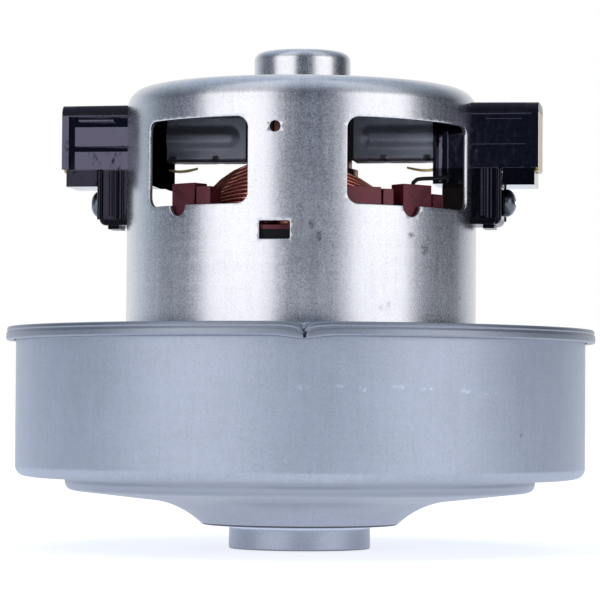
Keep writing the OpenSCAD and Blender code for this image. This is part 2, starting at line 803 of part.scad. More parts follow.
module coil_former_front() { coil_former(); }
module coil_former_rear() { rotate([0, 0, 180]) coil_former(); }

module field_coil() {
    path = coil_path();
    echo(str("field coil: least gap of the wire to itself ", least_gap(path, arc_points, wire_d), " mm"));
    color("chocolate") tube(path, wire_d);
}

module field_coil_core() {
    first = 0.2;
    last = last_loop - 0.2;
    deep = bundle_inset + bundle_t;
    columns = [for (i = [0 : 6]) first + (last - first) * i / 6];
    angles = [for (i = [1 : arc_points - 1]) 180 * i / arc_points];
    color("sienna") {
        swept([for (a = angles) [upper_bundle(first, a, deep),
            each [for (k = columns) upper_bundle(k, a, bundle_inset)], upper_bundle(last, a, deep)]]);
        swept([for (a = angles) [lower_bundle(first, a, deep),
            each [for (k = columns) lower_bundle(k, a, bundle_inset)], lower_bundle(last, a, deep)]]);
        for (side = [-1, 1]) translate([0, 0, stack_z]) linear_extrude(stack_h) polygon([
            side_bundle(first, side, bundle_inset), side_bundle(last, side, bundle_inset),
            side_bundle(last, side, deep), side_bundle(first, side, deep)]);
    }
}

module field_coil_front() { field_coil(); }
module field_coil_rear() { rotate([0, 0, 180]) field_coil(); }
module field_coil_core_front() { field_coil_core(); }
module field_coil_core_rear() { rotate([0, 0, 180]) field_coil_core(); }

function round_can(r, angle, z) = [r * sin(angle), -r * cos(angle), z];

// One lead joins the two pockets on a side, the other runs from the far pocket to the holder's neck
link_drop = 3.4;
link_gap = 0.4;
link_fall = 1.2;
lead_at = 7;
lead_turns = 18;
lead_rise = 2.4;
lead_sink = 2;

module field_leads() {
    top_z = stack_top_z + former_t + pocket_h;
    r = pocket_out_r - pocket_t / 2;
    out = far_pocket[0] + lead_at;
    back = [neck_x + 2 * lead_sink, -neck_w / 2 - fit, neck_z + lead_sink];
    shares = [[0, 0], [0.06, 0.4], [0.22, 0.65], [1, 1]];
    color([0.1, 0.1, 0.1]) both_ends() {
        tube([[round_can(r, near_pocket[2] + link_gap, top_z - link_drop), [0, 0, 1]],
            [round_can(r, far_pocket[0] - link_gap, top_z - link_drop - link_fall), [0, 0, 1]]], lead_d);
        tube([for (p = [round_can(r, out, top_z - recess_h + fit),
            for (s = shares) round_can(r, out + s[0] * lead_turns, top_z + s[1] * lead_rise),
            back - [0, lead_sink, 0], back]) [p, [p.x, p.y, 0]]], lead_d);
    }
}

// Brush gear, drawn on the right and turned for the left

// The block has bars and ribs on its sides and a seat for the brass plate in its outer end
module holder_block() {
    inner_x = can_r - wall_sink;
    bars_l = block_x - end_bar_t - inner_x;
    bars_z = block_top_z - top_bar_h;
    rib_z = bars_z - upper_groove_h - rib_h;
    cut = 2 * groove_depth;
    difference() {
        translate([inner_x, -block_w / 2, block_z]) cube([block_x - inner_x, block_w, block_h]);
        for (side = [0, 1]) mirror([0, side, 0]) translate([inner_x, block_w / 2 - groove_depth, 0]) {
            translate([0, 0, rib_z + rib_h]) cube([bars_l, cut, upper_groove_h]);
            translate([0, 0, rib_z - lower_groove_h]) cube([bars_l, cut, lower_groove_h]);
            translate([bars_l - end_groove_w, 0, block_z - cut])
                cube([end_groove_w, cut, bars_z - block_z + cut]);
        }
        translate([tube_reach, -plate_w / 2 - fit, plate_top_z + fit - 2 * plate_h])
            cube([2 * plate_t, plate_w + 2 * fit, 2 * plate_h]);
    }
}

module holder_shape() {
    foot_x = tube_reach - underblock_l;
    difference() {
        union() {
            holder_block();
            translate([foot_x, -leg_w / 2, block_z - underblock_h]) cube([underblock_l, leg_w, underblock_h]);
            translate([can_r + (leg_t - wall_sink) / 2, 0, leg_z]) linear_extrude(leg_h + 1)
                round_rect(leg_t + wall_sink, leg_w, leg_edge_r);
        }
        cylinder(r = can_r + fit, h = 2 * can_z);
        translate([0, 0, screw_z]) rotate([0, 90, 0]) cylinder(d = screw_d + 2 * fit, h = 2 * can_r);
    }
    translate([neck_x, -neck_w / 2, neck_z]) cube([can_r + neck_lap - neck_x, neck_w, neck_top_z - neck_z]);
}

module brush_holder() {
    color([0.06, 0.06, 0.07]) difference() {
        holder_shape();
        translate([0, -tube_w / 2 - fit, brush_z - tube_h / 2 - fit])
            cube([2 * can_r, tube_w + 2 * fit, tube_h + 2 * fit]);
    }
}

module brush_tube() {
    notch = 1.0;
    notch_in = 7;
    notch_back = 1.6;
    bead_land = 1.3;
    bead_back = 0.6;
    bead_r = (bead_h * bead_h / 4 + bead_depth * bead_depth) / (2 * bead_depth);
    bead_in = tube_x + bead_land + bead_h / 2;
    bead_out = neck_x - bead_back - bead_h / 2;
    color("darkgray") translate([0, 0, brush_z]) difference() {
        union() {
            translate([tube_x, -tube_w / 2, -tube_h / 2]) cube([tube_reach - tube_x, tube_w, tube_h]);
            for (side = [0, 180]) rotate([side, 0, 0]) intersection() {
                translate([0, tube_w / 2 + bead_depth - bead_r, 0]) {
                    translate([bead_in, 0, 0]) rotate([0, 90, 0])
                        cylinder(r = bead_r, h = bead_out - bead_in);
                    for (x = [bead_in, bead_out]) translate([x, 0, 0]) sphere(r = bead_r);
                }
                translate([0, tube_w / 2 - tube_t / 2, -bead_h])
                    cube([neck_x, bead_depth + tube_t, 2 * bead_h]);
            }
        }
        translate([0, -tube_w / 2 + tube_t, -tube_h / 2 + tube_t])
            cube([2 * can_r, tube_w - 2 * tube_t, tube_h - 2 * tube_t]);
        for (x = [tube_x + notch_in, neck_x - notch_back], z = [-1, 1])
            translate([x, 0, z * tube_h / 2]) rotate([0, 45, 0]) cube([notch, 2 * tube_w, notch], center = true);
    }
}

module brush_terminal() {
    edge_r = 1;
    color("goldenrod") translate([tube_reach, 0, plate_top_z - plate_h / 2]) rotate([90, 0, 90])
        linear_extrude(plate_t) round_rect(plate_w, plate_h, edge_r);
}

module terminal_blade() {
    under_tube = 1;
    root_h = 1.4;
    waist_h = 0.9;
    width = 2.4;
    z = brush_z - tube_h / 2 - under_tube;
    color("gold") translate([0, width / 2, 0]) rotate([90, 0, 0]) linear_extrude(width) polygon([
        [neck_x, z - root_h], [neck_x, z], [neck_x - blade_l, z], [neck_x - blade_l / 2, z - waist_h]]);
}

module carbon_brush() {
    face_stock = 1;
    color([0.2, 0.2, 0.22]) difference() {
        translate([brush_x - face_stock, -brush_w / 2, brush_z - brush_h / 2])
            cube([brush_l + face_stock, brush_w, brush_h]);
        cylinder(r = brush_x, h = 2 * can_z);
    }
}

function spring_path() =
    let (r = (spring_d - spring_wire_d) / 2, turns = 8 * spring_curls, end = 2 * spring_wire_d,
        length = tube_reach - spring_x - 2 * end)
    concat(
        [[[spring_x, r, 0], [0, 1, 0]]],
        [for (i = [0 : turns])
            let (u = [0, cos(i * 45), sin(i * 45)])
            [[spring_x + end + length * i / turns, 0, 0] + r * u, u]],
        [[[tube_reach, r, 0], [0, 1, 0]]]);

module brush_spring() {
    path = spring_path();
    echo(str("brush spring: least gap of the wire to itself ", least_gap(path, 5, spring_wire_d), " mm"));
    color("lightgray") translate([0, 0, brush_z]) tube(path, spring_wire_d);
}

module brush_holder_right() { brush_holder(); }
module brush_holder_left() { rotate([0, 0, 180]) brush_holder(); }
module brush_tube_right() { brush_tube(); }
module brush_tube_left() { rotate([0, 0, 180]) brush_tube(); }
module brush_terminal_right() { brush_terminal(); }
module brush_terminal_left() { rotate([0, 0, 180]) brush_terminal(); }
module terminal_blade_right() { terminal_blade(); }
module terminal_blade_left() { rotate([0, 0, 180]) terminal_blade(); }
module carbon_brush_right() { carbon_brush(); }
module carbon_brush_left() { rotate([0, 0, 180]) carbon_brush(); }
module brush_spring_right() { brush_spring(); }
module brush_spring_left() { rotate([0, 0, 180]) brush_spring(); }

module holder_screws() {
    tail = 3;
    head_x = can_r + leg_t;
    color("lightgray") both_ends() translate([0, 0, screw_z]) rotate([0, 90, 0]) rotate_extrude() {
        translate([0, can_in_r - tail]) square([screw_d / 2, head_x - can_in_r + tail]);
        intersection() {
            translate([0, head_x]) square([screw_head_d / 2, screw_head_h]);
            translate([0, head_x + screw_head_h - screw_head_d]) circle(screw_head_d);
        }
    }
}

// Bearings

groove_fit = 0.05;
land_share = 0.8;

module bearing_outer(b, z) {
    color("silver") translate([0, 0, z]) rotate_extrude() difference() {
        translate([b[4] + b[3] * land_share, 0]) square([b[1] - b[4] - b[3] * land_share, b[2]]);
        translate([b[4], b[2] / 2]) circle(b[3] + groove_fit);
    }
}

module bearing_inner(b, z) {
    color("silver") translate([0, 0, z]) rotate_extrude() difference() {
        translate([b[0], 0]) square([b[4] - b[3] * land_share - b[0], b[2]]);
        translate([b[4], b[2] / 2]) circle(b[3] + groove_fit);
    }
}

module bearing_shields(b, z) {
    t = 0.3;
    inset = 0.1;
    color("lightgray") for (end = [inset, b[2] - t - inset]) translate([0, 0, z + end])
        ring(b[4] + b[3] * land_share, b[4] - b[3] * land_share + run_fit, t);
}

module ball_ring(b, z, r) {
    for (i = [0 : balls - 1]) rotate([0, 0, i * 360 / balls]) translate([b[4], 0, z + b[2] / 2]) sphere(r);
}

module bearing_cage(b, z) {
    half_t = b[3] * 0.45;
    crown = 0.5;
    lip = 0.4;
    color("khaki") difference() {
        translate([0, 0, z + b[2] / 2 - b[3] - crown]) ring(b[4] + half_t, b[4] - half_t, b[3] + crown + lip);
        ball_ring(b, z, b[3] + groove_fit);
    }
}

module upper_bearing_outer() { bearing_outer(upper, upper_z); }
module upper_bearing_inner() { bearing_inner(upper, upper_z); }
module upper_bearing_shields() { bearing_shields(upper, upper_z); }
module upper_bearing_balls() { color("white") ball_ring(upper, upper_z, upper[3]); }
module upper_bearing_cage() { bearing_cage(upper, upper_z); }
module lower_bearing_outer() { bearing_outer(lower, lower_z); }
module lower_bearing_inner() { bearing_inner(lower, lower_z); }
module lower_bearing_shields() { bearing_shields(lower, lower_z); }
module lower_bearing_balls() { color("white") ball_ring(lower, lower_z, lower[3]); }
module lower_bearing_cage() { bearing_cage(lower, lower_z); }

module upper_bearing_sleeve() {
    inset = 0.4;
    color([0.15, 0.15, 0.15]) translate([0, 0, upper_z])
        ring(boss_d / 2 - housing_t - fit, upper[1] + fit, upper_w - inset);
}

// Waved spring washer between the bearing and the end of its cup
module preload_washer() {
    inset = 0.6;
    width = 2;
    steps = 48;
    waves = 3;
    t = 0.3;
    seat_gap = 0.03;
    r_out = upper[1] - inset;
    r_in = r_out - width;
    lift = (wave_h - t) / 2 - seat_gap;
    points = [for (i = [0 : steps - 1], s = [0 : 3])
        let (a = i * 360 / steps, r = s == 1 || s == 2 ? r_out : r_in, z = s > 1 ? t / 2 : -t / 2)
        [r * cos(a), r * sin(a), z + lift * cos(a * waves)]];
    faces = [for (i = [0 : steps - 1], s = [0 : 3], half = [0, 1])
        let (next = (i + 1) % steps, a = 4 * i + s, b = 4 * i + (s + 1) % 4)
        let (c = 4 * next + s, d = 4 * next + (s + 1) % 4)
        half == 0 ? [a, b, d] : [a, d, c]];
    color("lightgray") translate([0, 0, upper_top_z + wave_h / 2]) polyhedron(points = points, faces = faces);
}

// Rotor

module shaft() {
    step_lap = 0.5;
    color("silver") rotate_extrude() {
        translate([0, shaft_end_z]) square([lower_bore / 2 - fit, lower_top_z - shaft_end_z]);
        translate([0, lower_top_z]) square([shaft_d / 2, comm_top_z - lower_top_z]);
        translate([0, comm_top_z - step_lap])
            square([upper_bore / 2 - fit, upper_top_z - comm_top_z + step_lap]);
    }
}

// Armature slots, round at both ends and widest near the rim
slot_rim = 4.2;
slot_top_r = armature_r - slot_rim;
slot_depth = 4.2;
wide_end_r = 2.6;
slim_end_r = 1.5;

module slot_outline(grow) {
    low_r = slot_top_r - slot_depth;
    top_w = wide_end_r + grow;
    low_w = slim_end_r + grow;
    for (i = [0 : armature_slots - 1]) rotate(i * 360 / armature_slots) {
        translate([0, slot_top_r]) circle(top_w);
        translate([0, low_r]) circle(low_w);
        polygon([[-low_w, low_r], [low_w, low_r], [top_w, slot_top_r], [-top_w, slot_top_r]]);
    }
}

module slot_mouths(w) {
    for (i = [0 : armature_slots - 1]) rotate(i * 360 / armature_slots)
        translate([-w / 2, slot_top_r]) square([w, armature_r]);
}

module armature_outline() {
    difference() {
        circle(armature_r);
        circle(shaft_d / 2 + fit);
        slot_outline(0);
        slot_mouths(slot_mouth);
    }
}

module armature_core() {
    color("slategray") translate([0, 0, stack_z]) linear_extrude(stack_h) armature_outline();
}

module armature_end_discs() {
    color("whitesmoke") for (z = [stack_z - end_disc_t, stack_top_z])
        translate([0, 0, z]) linear_extrude(end_disc_t) armature_outline();
}

module slot_wedges() {
    mouth = slot_mouth - 2 * fit;
    inset = 0.3;
    t = 1;
    color("wheat") translate([0, 0, stack_z - end_disc_t]) linear_extrude(stack_h + 2 * end_disc_t)
        intersection() {
            difference() {
                circle(armature_r - inset);
                circle(armature_r - inset - t);
            }
            slot_mouths(mouth);
        }
}

// Heaped end turns of the armature as a section on one side of the shaft
module heap_section(z_in, z_out, r_in, r_out) {
    round_share = 0.45;
    r = min(r_out - r_in, abs(z_out - z_in)) * round_share;
    up = sign(z_out - z_in);
    difference() {
        polygon([[r_in, z_in], [r_out, z_in], [r_out, z_out], [r_in, z_out]]);
        difference() {
            translate([r_out - r, z_out - (up > 0 ? r : 0)]) square(r);
            translate([r_out - r, z_out - up * r]) circle(r);
        }
    }
}

module armature_winding() {
    rim_inset = 0.8;
    shaft_gap = 0.6;
    slot_liner = 0.15;
    heap_r = armature_r - rim_inset;
    hub_r = shaft_d / 2 + shaft_gap;
    upper_heap_z = stack_top_z + end_disc_t;
    lower_heap_z = stack_z - end_disc_t;
    lower_end_z = max(bracket_floor_z + lower_w, lower_top_z) + winding_gap;
    color("peru") {
        rotate_extrude() heap_section(upper_heap_z, comm_z - winding_gap, hub_r, heap_r);
        rotate_extrude() heap_section(lower_heap_z, lower_end_z, hub_r, heap_r);
        translate([0, 0, lower_heap_z]) linear_extrude(upper_heap_z - lower_heap_z) slot_outline(-slot_liner);
    }
}

module commutator_hub() {
    color([0.3, 0.15, 0.1]) translate([0, 0, comm_z])
        ring(comm_r - bar_t - fit, shaft_d / 2 + fit, comm_top_z - comm_z);
}

module commutator_bars() {
    bars = 2 * armature_slots;
    bar_angle = 360 / bars - bar_gap / comm_r * 180 / PI;
    end = 0.8;
    color("peru") for (i = [0 : bars - 1]) rotate([0, 0, i * 360 / bars]) rotate_extrude(angle = bar_angle)
        polygon([[comm_r - bar_t, comm_z + end], [comm_r + hook_t, comm_z + end],
            [comm_r + hook_t, comm_z + end + hook_h], [comm_r, comm_z + end + hook_h],
            [comm_r, comm_top_z - end], [comm_r - bar_t, comm_top_z - end]]);
}

module upper_spacer() {
    color("dimgray") translate([0, 0, comm_top_z])
        ring(upper[4] - upper[3], upper_bore / 2 + fit, upper_spacer_h);
}

module lower_spacer() {
    color("dimgray") translate([0, 0, back_disc_top_z])
        ring(lower[4] - lower[3], lower_bore / 2 + fit, lower_z - back_disc_top_z);
}

module clamp_washer() {
    color("gray") translate([0, 0, back_disc_z - washer_h]) ring(washer_r, lower_bore / 2 + fit, washer_h);
}

module shaft_nut() {
    color("lightgray") translate([0, 0, nut_z]) linear_extrude(nut_h) difference() {
        circle(d = nut_af / cos(30), $fn = 6);
        circle(lower_bore / 2 + fit);
    }
}

motor_housing();
fan_cover();
inlet_seal_ring();
diffuser();
bearing_bracket();
field_core();
coil_former_front();
coil_former_rear();
field_coil_core_front();
field_coil_core_rear();
field_coil_front();
field_coil_rear();
field_leads();
brush_holder_left();
brush_holder_right();
brush_tube_left();
brush_tube_right();
brush_terminal_left();
brush_terminal_right();
terminal_blade_left();
terminal_blade_right();
brush_spring_left();
brush_spring_right();
carbon_brush_left();
carbon_brush_right();
holder_screws();
upper_bearing_sleeve();
preload_washer();
upper_bearing_outer();
upper_bearing_shields();
upper_bearing_balls();
upper_bearing_cage();
upper_bearing_inner();
lower_bearing_outer();
lower_bearing_shields();
lower_bearing_balls();
lower_bearing_cage();
lower_bearing_inner();
shaft();
armature_core();
armature_end_discs();
armature_winding();
slot_wedges();
commutator_hub();
commutator_bars();
upper_spacer();
lower_spacer();
impeller_back_disc();
impeller_blades();
impeller_front_disc();
clamp_washer();
shaft_nut();
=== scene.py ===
"""Vacuum cleaner motor unit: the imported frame, dressed for a studio picture.

Lengths in the shape code are in millimetres."""
import json
import math
import random

import bmesh
import bpy
from mathutils import Matrix, Vector
from mathutils.geometry import delaunay_2d_cdt


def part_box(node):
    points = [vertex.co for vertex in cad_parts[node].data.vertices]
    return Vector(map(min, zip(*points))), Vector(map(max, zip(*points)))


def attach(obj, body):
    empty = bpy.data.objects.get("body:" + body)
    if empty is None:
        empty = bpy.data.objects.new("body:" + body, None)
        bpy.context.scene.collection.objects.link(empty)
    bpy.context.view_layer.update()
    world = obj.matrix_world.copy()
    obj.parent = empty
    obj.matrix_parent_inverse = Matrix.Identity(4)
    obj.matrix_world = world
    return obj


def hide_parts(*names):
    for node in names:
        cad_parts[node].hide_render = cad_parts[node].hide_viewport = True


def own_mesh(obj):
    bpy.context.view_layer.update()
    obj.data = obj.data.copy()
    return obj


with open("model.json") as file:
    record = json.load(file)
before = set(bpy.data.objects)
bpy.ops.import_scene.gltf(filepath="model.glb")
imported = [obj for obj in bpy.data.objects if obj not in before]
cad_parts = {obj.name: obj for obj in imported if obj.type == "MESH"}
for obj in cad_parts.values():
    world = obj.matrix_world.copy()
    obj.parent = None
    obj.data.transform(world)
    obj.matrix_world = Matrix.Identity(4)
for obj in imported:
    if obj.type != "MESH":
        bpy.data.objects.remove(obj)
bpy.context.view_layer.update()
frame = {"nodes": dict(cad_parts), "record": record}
MM = 0.001
dice = random.Random(7)


def low(node):
    """Lower corner of a CAD node's box."""
    return Vector(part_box(node)[0]) / MM


def high(node):
    """Upper corner of a CAD node's box."""
    return Vector(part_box(node)[1]) / MM


# Sizes: the frame gives the outer ones, the rest belong to the can, the cover and the brush gear
RIM_R = high("motor_housing").x
RIM_Z = low("motor_housing").z
BOSS_Z = high("motor_housing").z
RIM_H = 3.0
FLANGE_Z = RIM_Z + RIM_H
CAN_R = 40.2
CAN_T = 1.0
CAN_Z = BOSS_Z - 8.9
SHOULDER_R = 4.5
BOSS_R = 11.1
BOSS_EDGE_R = 2.0
BOSS_BEND_R = 0.5
FLANGE_BEND_R = 0.6
EDGE = 0.22

CUP_R = 65.25
COVER_T = 0.9
COVER_TOP_Z = high("fan_cover").z - COVER_T
FLOOR_Z = 16.2
STEP_R, STEP_Z = 53.9, 13.3
FLARE_R, FLARE_Z, FLARE_BEND_R = 28.2, 10.4, 20
LIP_R = 22.2
COLLAR_R, COLLAR_H = 16.15, 5.4

SILL_Z = FLANGE_Z + 26.5
WINDOW_H = 19.0
WINDOW_R = 2.4
NOTCH_R = 2.4
WIDE_WINDOW = (49.6, 36.2, -2.7)
NARROW_WINDOW = (-29.2, 28.1, -3.8)
PIN_HOLE = (FLANGE_Z + 43.2, 1.2)
SLOT = (FLANGE_Z + 20.6, 6.8, 3.9)
CRIMP_AT = 9.0
SEAM_AT = 115

TUBE_W, TUBE_H = 8.0, 11.0
BRUSH_Z = FLANGE_Z + 44.0
BLOCK_X = high("brush_holder_right").x
BLOCK_TOP_Z = high("brush_holder_right").z
NECK_X = low("brush_holder_right").x
NECK_W = TUBE_W / 2 + 2.2
NECK_LOW_Z = BRUSH_Z - TUBE_H / 2 - 5.6
LEG_Z = low("brush_holder_right").z
LEG_TOP_Z = LEG_Z + 12.8
SCREW_Z = LEG_Z + 5.2
SCREW_R = 1.5


# Mesh helpers
def arc(cx, cy, r, start, end, step=9):
    n = max(2, math.ceil(abs(end - start) / step))
    angles = [math.radians(start + (end - start) * i / n) for i in range(n + 1)]
    return [(cx + r * math.cos(a), cy + r * math.sin(a)) for a in angles]


def rounded(corners, step=9):
    """Line through (x, y, radius) corners, with an arc at each corner that has a radius."""
    line = []
    for i, (x, y, r) in enumerate(corners):
        p = Vector((x, y))
        if r == 0 or i in (0, len(corners) - 1):
            line.append((x, y))
            continue
        u = (Vector(corners[i - 1][:2]) - p).normalized()
        v = (Vector(corners[i + 1][:2]) - p).normalized()
        half = u.angle(v) / 2
        centre = p + (u + v).normalized() * r / math.sin(half)
        a, b = (p + w * r / math.tan(half) - centre for w in (u, v))
        turn = math.degrees(math.atan2(a.x * b.y - a.y * b.x, a.dot(b)))
        start = math.degrees(math.atan2(a.y, a.x))
        line += arc(centre.x, centre.y, r, start, start + turn, step)
    return [p for i, p in enumerate(line) if i == 0 or math.dist(p, line[i - 1]) > 0.001]


def shifted(line, distance, closed=False):
    """The line moved to its left by a distance."""
    moved = []
    n = len(line)
    for i in range(n):
        p, q = line[i - 1 if closed or i else 0], line[(i + 1) % n if closed else min(i + 1, n - 1)]
        here = Vector(line[i])
        a, b = here - Vector(p), Vector(q) - here
        a = (a if a.length > 1e-9 else b).normalized()
        b = (b if b.length > 1e-9 else a).normalized()
        normal = Vector((-(a + b).y, (a + b).x)).normalized()
        moved.append(tuple(here + normal * distance / max(0.5, normal.dot(Vector((-a.y, a.x))))))
    return moved


def split_long(loop, most):
    """A closed loop with its long edges cut in parts."""
    out = []
    for p, q in zip(loop, loop[1:] + loop[:1]):
        n = max(1, math.ceil(math.dist(p, q) / most))
        out += [tuple(a + (b - a) * i / n for a, b in zip(p, q)) for i in range(n)]
    return out


def around(r, angle, z):
    """Point at a radius and an angle from the front, in degrees."""
    a = math.radians(angle)
    return (r * math.sin(a), -r * math.cos(a), z)


def eased(t):
    t = max(0.0, min(1.0, t))
    return t * t * (3 - 2 * t)


def even_turn(columns):
    return [360 * k / columns for k in range(columns)]


def revolve(section, angles, closed=True):
    """A section of (radius, height) points swept through the angles of a whole turn."""
    points = [around(r, angle, z) for angle in angles for r, z in section]
    n, columns = len(section), len(angles)
    faces = []
    for k in range(columns):
        for i in range(n if closed else n - 1):
            a, b = k * n + i, k * n + (i + 1) % n
            shift = n if k < columns - 1 else -k * n
            faces.append((a, a + shift, b + shift, b))
    return points, faces


def sheet_section(outer, thickness):
    return outer + shifted(outer, thickness)[::-1]


def tube(path, d, sides=10, closed=False):
    """Round wire along a path, with flat ends or closed on itself."""
    points, faces = [], []
    n = len(path)
    side = None
    for i, p in enumerate(path):
        after, before = ((i + 1) % n, i - 1) if closed else (min(i + 1, n - 1), max(i - 1, 0))
        ahead = (Vector(path[after]) - Vector(path[before])).normalized()
        if side is None:
            side = ahead.orthogonal().normalized()
        side = (side - ahead * side.dot(ahead)).normalized()
        up = ahead.cross(side)
        for s in range(sides):
            a = math.tau * s / sides
            points.append(Vector(p) + (side * math.cos(a) + up * math.sin(a)) * d / 2)
    for i in range(n - 1):
        for s in range(sides):
            a, b = i * sides + s, i * sides + (s + 1) % sides
            faces.append((a, b, b + sides, a + sides))
    first, last = list(range(sides)), list(range((n - 1) * sides, n * sides))
    if closed:
        turn = min(range(sides), key=lambda k: (points[last[k]] - points[0]).length)
        for s in range(sides):
            a, b = last[(s + turn) % sides], last[(s + 1 + turn) % sides]
            faces.append((a, b, first[(s + 1) % sides], first[s]))
    else:
        faces += [tuple(reversed(first)), tuple(last)]
    return points, faces


def joined(*parts):
    points, faces = [], []
    for p, f in parts:
        faces += [tuple(i + len(points) for i in face) for face in f]
        points += list(p)
    return points, faces


def half_turn(shape):
    points, faces = shape
    return [(-p[0], -p[1], p[2]) for p in points], faces


def piece(name, shape, slot, nodes=(), body="frame", sharp=32, weighted=False):
    """A named object from points and faces that stands for CAD nodes and rides on a body."""
    points, faces = shape
    bm = bmesh.new()
    verts = [bm.verts.new(Vector(p) * MM) for p in points]
    for face in faces:
        if len(set(face)) > 2:
            bm.faces.new([verts[i] for i in face])
    bmesh.ops.remove_doubles(bm, verts=bm.verts, dist=0.002 * MM)
    bmesh.ops.dissolve_degenerate(bm, edges=bm.edges, dist=0.0005 * MM)
    bmesh.ops.recalc_face_normals(bm, faces=bm.faces)
    return from_bmesh(name, bm, slot, nodes, body, sharp, weighted)


def from_bmesh(name, bm, slot, nodes, body, sharp, weighted):
    mesh = bpy.data.meshes.new(name)
    bm.to_mesh(mesh)
    bm.free()
    mesh.shade_smooth()
    mesh.set_sharp_from_angle(angle=math.radians(sharp))
    mesh.materials.append(MATERIALS[slot])
    obj = bpy.data.objects.new(name, mesh)
    bpy.context.collection.objects.link(obj)
    if weighted:
        keep = obj.modifiers.new("normals", "WEIGHTED_NORMAL")
        keep.keep_sharp = True
    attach(obj, body)
    if nodes:
        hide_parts(*nodes)
    return obj


def from_cad(node, name, slot, bevel, sharp=32, change=None):
    """The CAD node's own form with broken edges."""
    bm = bmesh.new()
    bm.from_mesh(frame["nodes"][node].data)
    bmesh.ops.remove_doubles(bm, verts=bm.verts, dist=0.001 * MM)
    bmesh.ops.dissolve_limit(bm, angle_limit=math.radians(1), verts=bm.verts, edges=bm.edges)
    if change:
        change(bm)
    obj = from_bmesh(name, bm, slot, (node,), "frame", sharp, False)
    edge = obj.modifiers.new("edges", "BEVEL")
    edge.width = bevel * MM
    edge.segments = 3
    edge.limit_method = "ANGLE"
    edge.angle_limit = math.radians(35)
    edge.harden_normals = True
    edge.use_clamp_overlap = True
    return obj


# Materials
class Nodes:
    """Short way to write a node tree."""

    def __init__(self, tree):
        self.tree = tree

    def put(self, socket, value):
        if isinstance(value, bpy.types.NodeSocket):
            self.tree.links.new(value, socket)
        else:
            socket.default_value = value

    def node(self, kind, inputs=None, out=0, **settings):
        n = self.tree.nodes.new("ShaderNode" + kind)
        for key, value in settings.items():
            setattr(n, key, value)
        for key, value in (inputs or {}).items():
            self.put(n.inputs[key], value)
        return n.outputs[out]

    def math(self, operation, a, b=0.0):
        return self.node("Math", {0: a, 1: b}, operation=operation)

    def squares(self, a, b):
        return self.math("ADD", self.math("MULTIPLY", a, a), self.math("MULTIPLY", b, b))

    def axes(self, vector):
        return self.node("SeparateXYZ", {0: vector}).node.outputs

    def span(self, value, from_low, from_high, to_low, to_high):
        return self.node("MapRange", {0: value, 1: from_low, 2: from_high, 3: to_low, 4: to_high})

    def mix(self, factor, a, b, how="MIX"):
        n = self.tree.nodes.new("ShaderNodeMix")
        n.data_type, n.blend_type = "RGBA", how
        for socket, value in ((n.inputs[0], factor), (n.inputs[6], a), (n.inputs[7], b)):
            self.put(socket, value)
        return n.outputs[2]


class Shader(Nodes):
    """A material, with the coordinates and patterns that its finish is made of."""

    def __init__(self, name):
        self.material = bpy.data.materials.new(name)
        self.material.use_nodes = True
        super().__init__(self.material.node_tree)
        self.bsdf = self.tree.nodes["Principled BSDF"]

    def set(self, **inputs):
        for key, value in inputs.items():
            self.put(self.bsdf.inputs[key.replace("_", " ")], value)

    def place(self):
        return self.node("TexCoord", out="Object")

    def unrolled(self, radius):
        """Coordinates of a wall unrolled round the Z axis: along the wall, and up."""
        x, y, z = self.axes(self.place())
        run = self.math("MULTIPLY", self.math("ARCTAN2", x, y), radius * MM)
        return self.node("CombineXYZ", {0: run, 1: z})

    def scaled(self, vector, x, y, z):
        return self.node("Mapping", {"Vector": vector, "Scale": (x, y, z)})

    def noise(self, vector, scale, detail=3.0, rough=0.55):
        return self.node("TexNoise", {"Vector": vector, "Scale": scale, "Detail": detail, "Roughness": rough})

    def bump(self, height, strength, distance):
        return self.node("Bump", {"Height": height, "Strength": strength, "Distance": distance * MM})


def shade(colour, factor):
    return tuple(min(1.0, c * factor) for c in colour) + (1.0,)


def plain_finish(name, colour, metal, rough, grain=900.0, spread=0.16, bump=0.02, stretch=(1, 1, 1),
                 specular=0.5):
    """Small-scale grain, large soft patches and a fine bump on one base colour."""
    s = Shader(name)
    at = s.scaled(s.place(), *stretch)
    fine, patches = s.noise(at, grain), s.noise(at, grain / 12, 2.0)
    tone = s.math("ADD", s.math("MULTIPLY", fine, 0.6), s.math("MULTIPLY", patches, 0.4))
    tint = s.span(tone, 0.3, 0.7, 0.0, 1.0)
    s.set(Base_Color=s.mix(tint, shade(colour, 1 - spread), shade(colour, 1 + spread)), Metallic=metal,
          Roughness=s.span(fine, 0.3, 0.7, rough * 0.85, rough * 1.2), Normal=s.bump(fine, 0.35, bump),
          Specular_IOR_Level=specular)
    return s.material


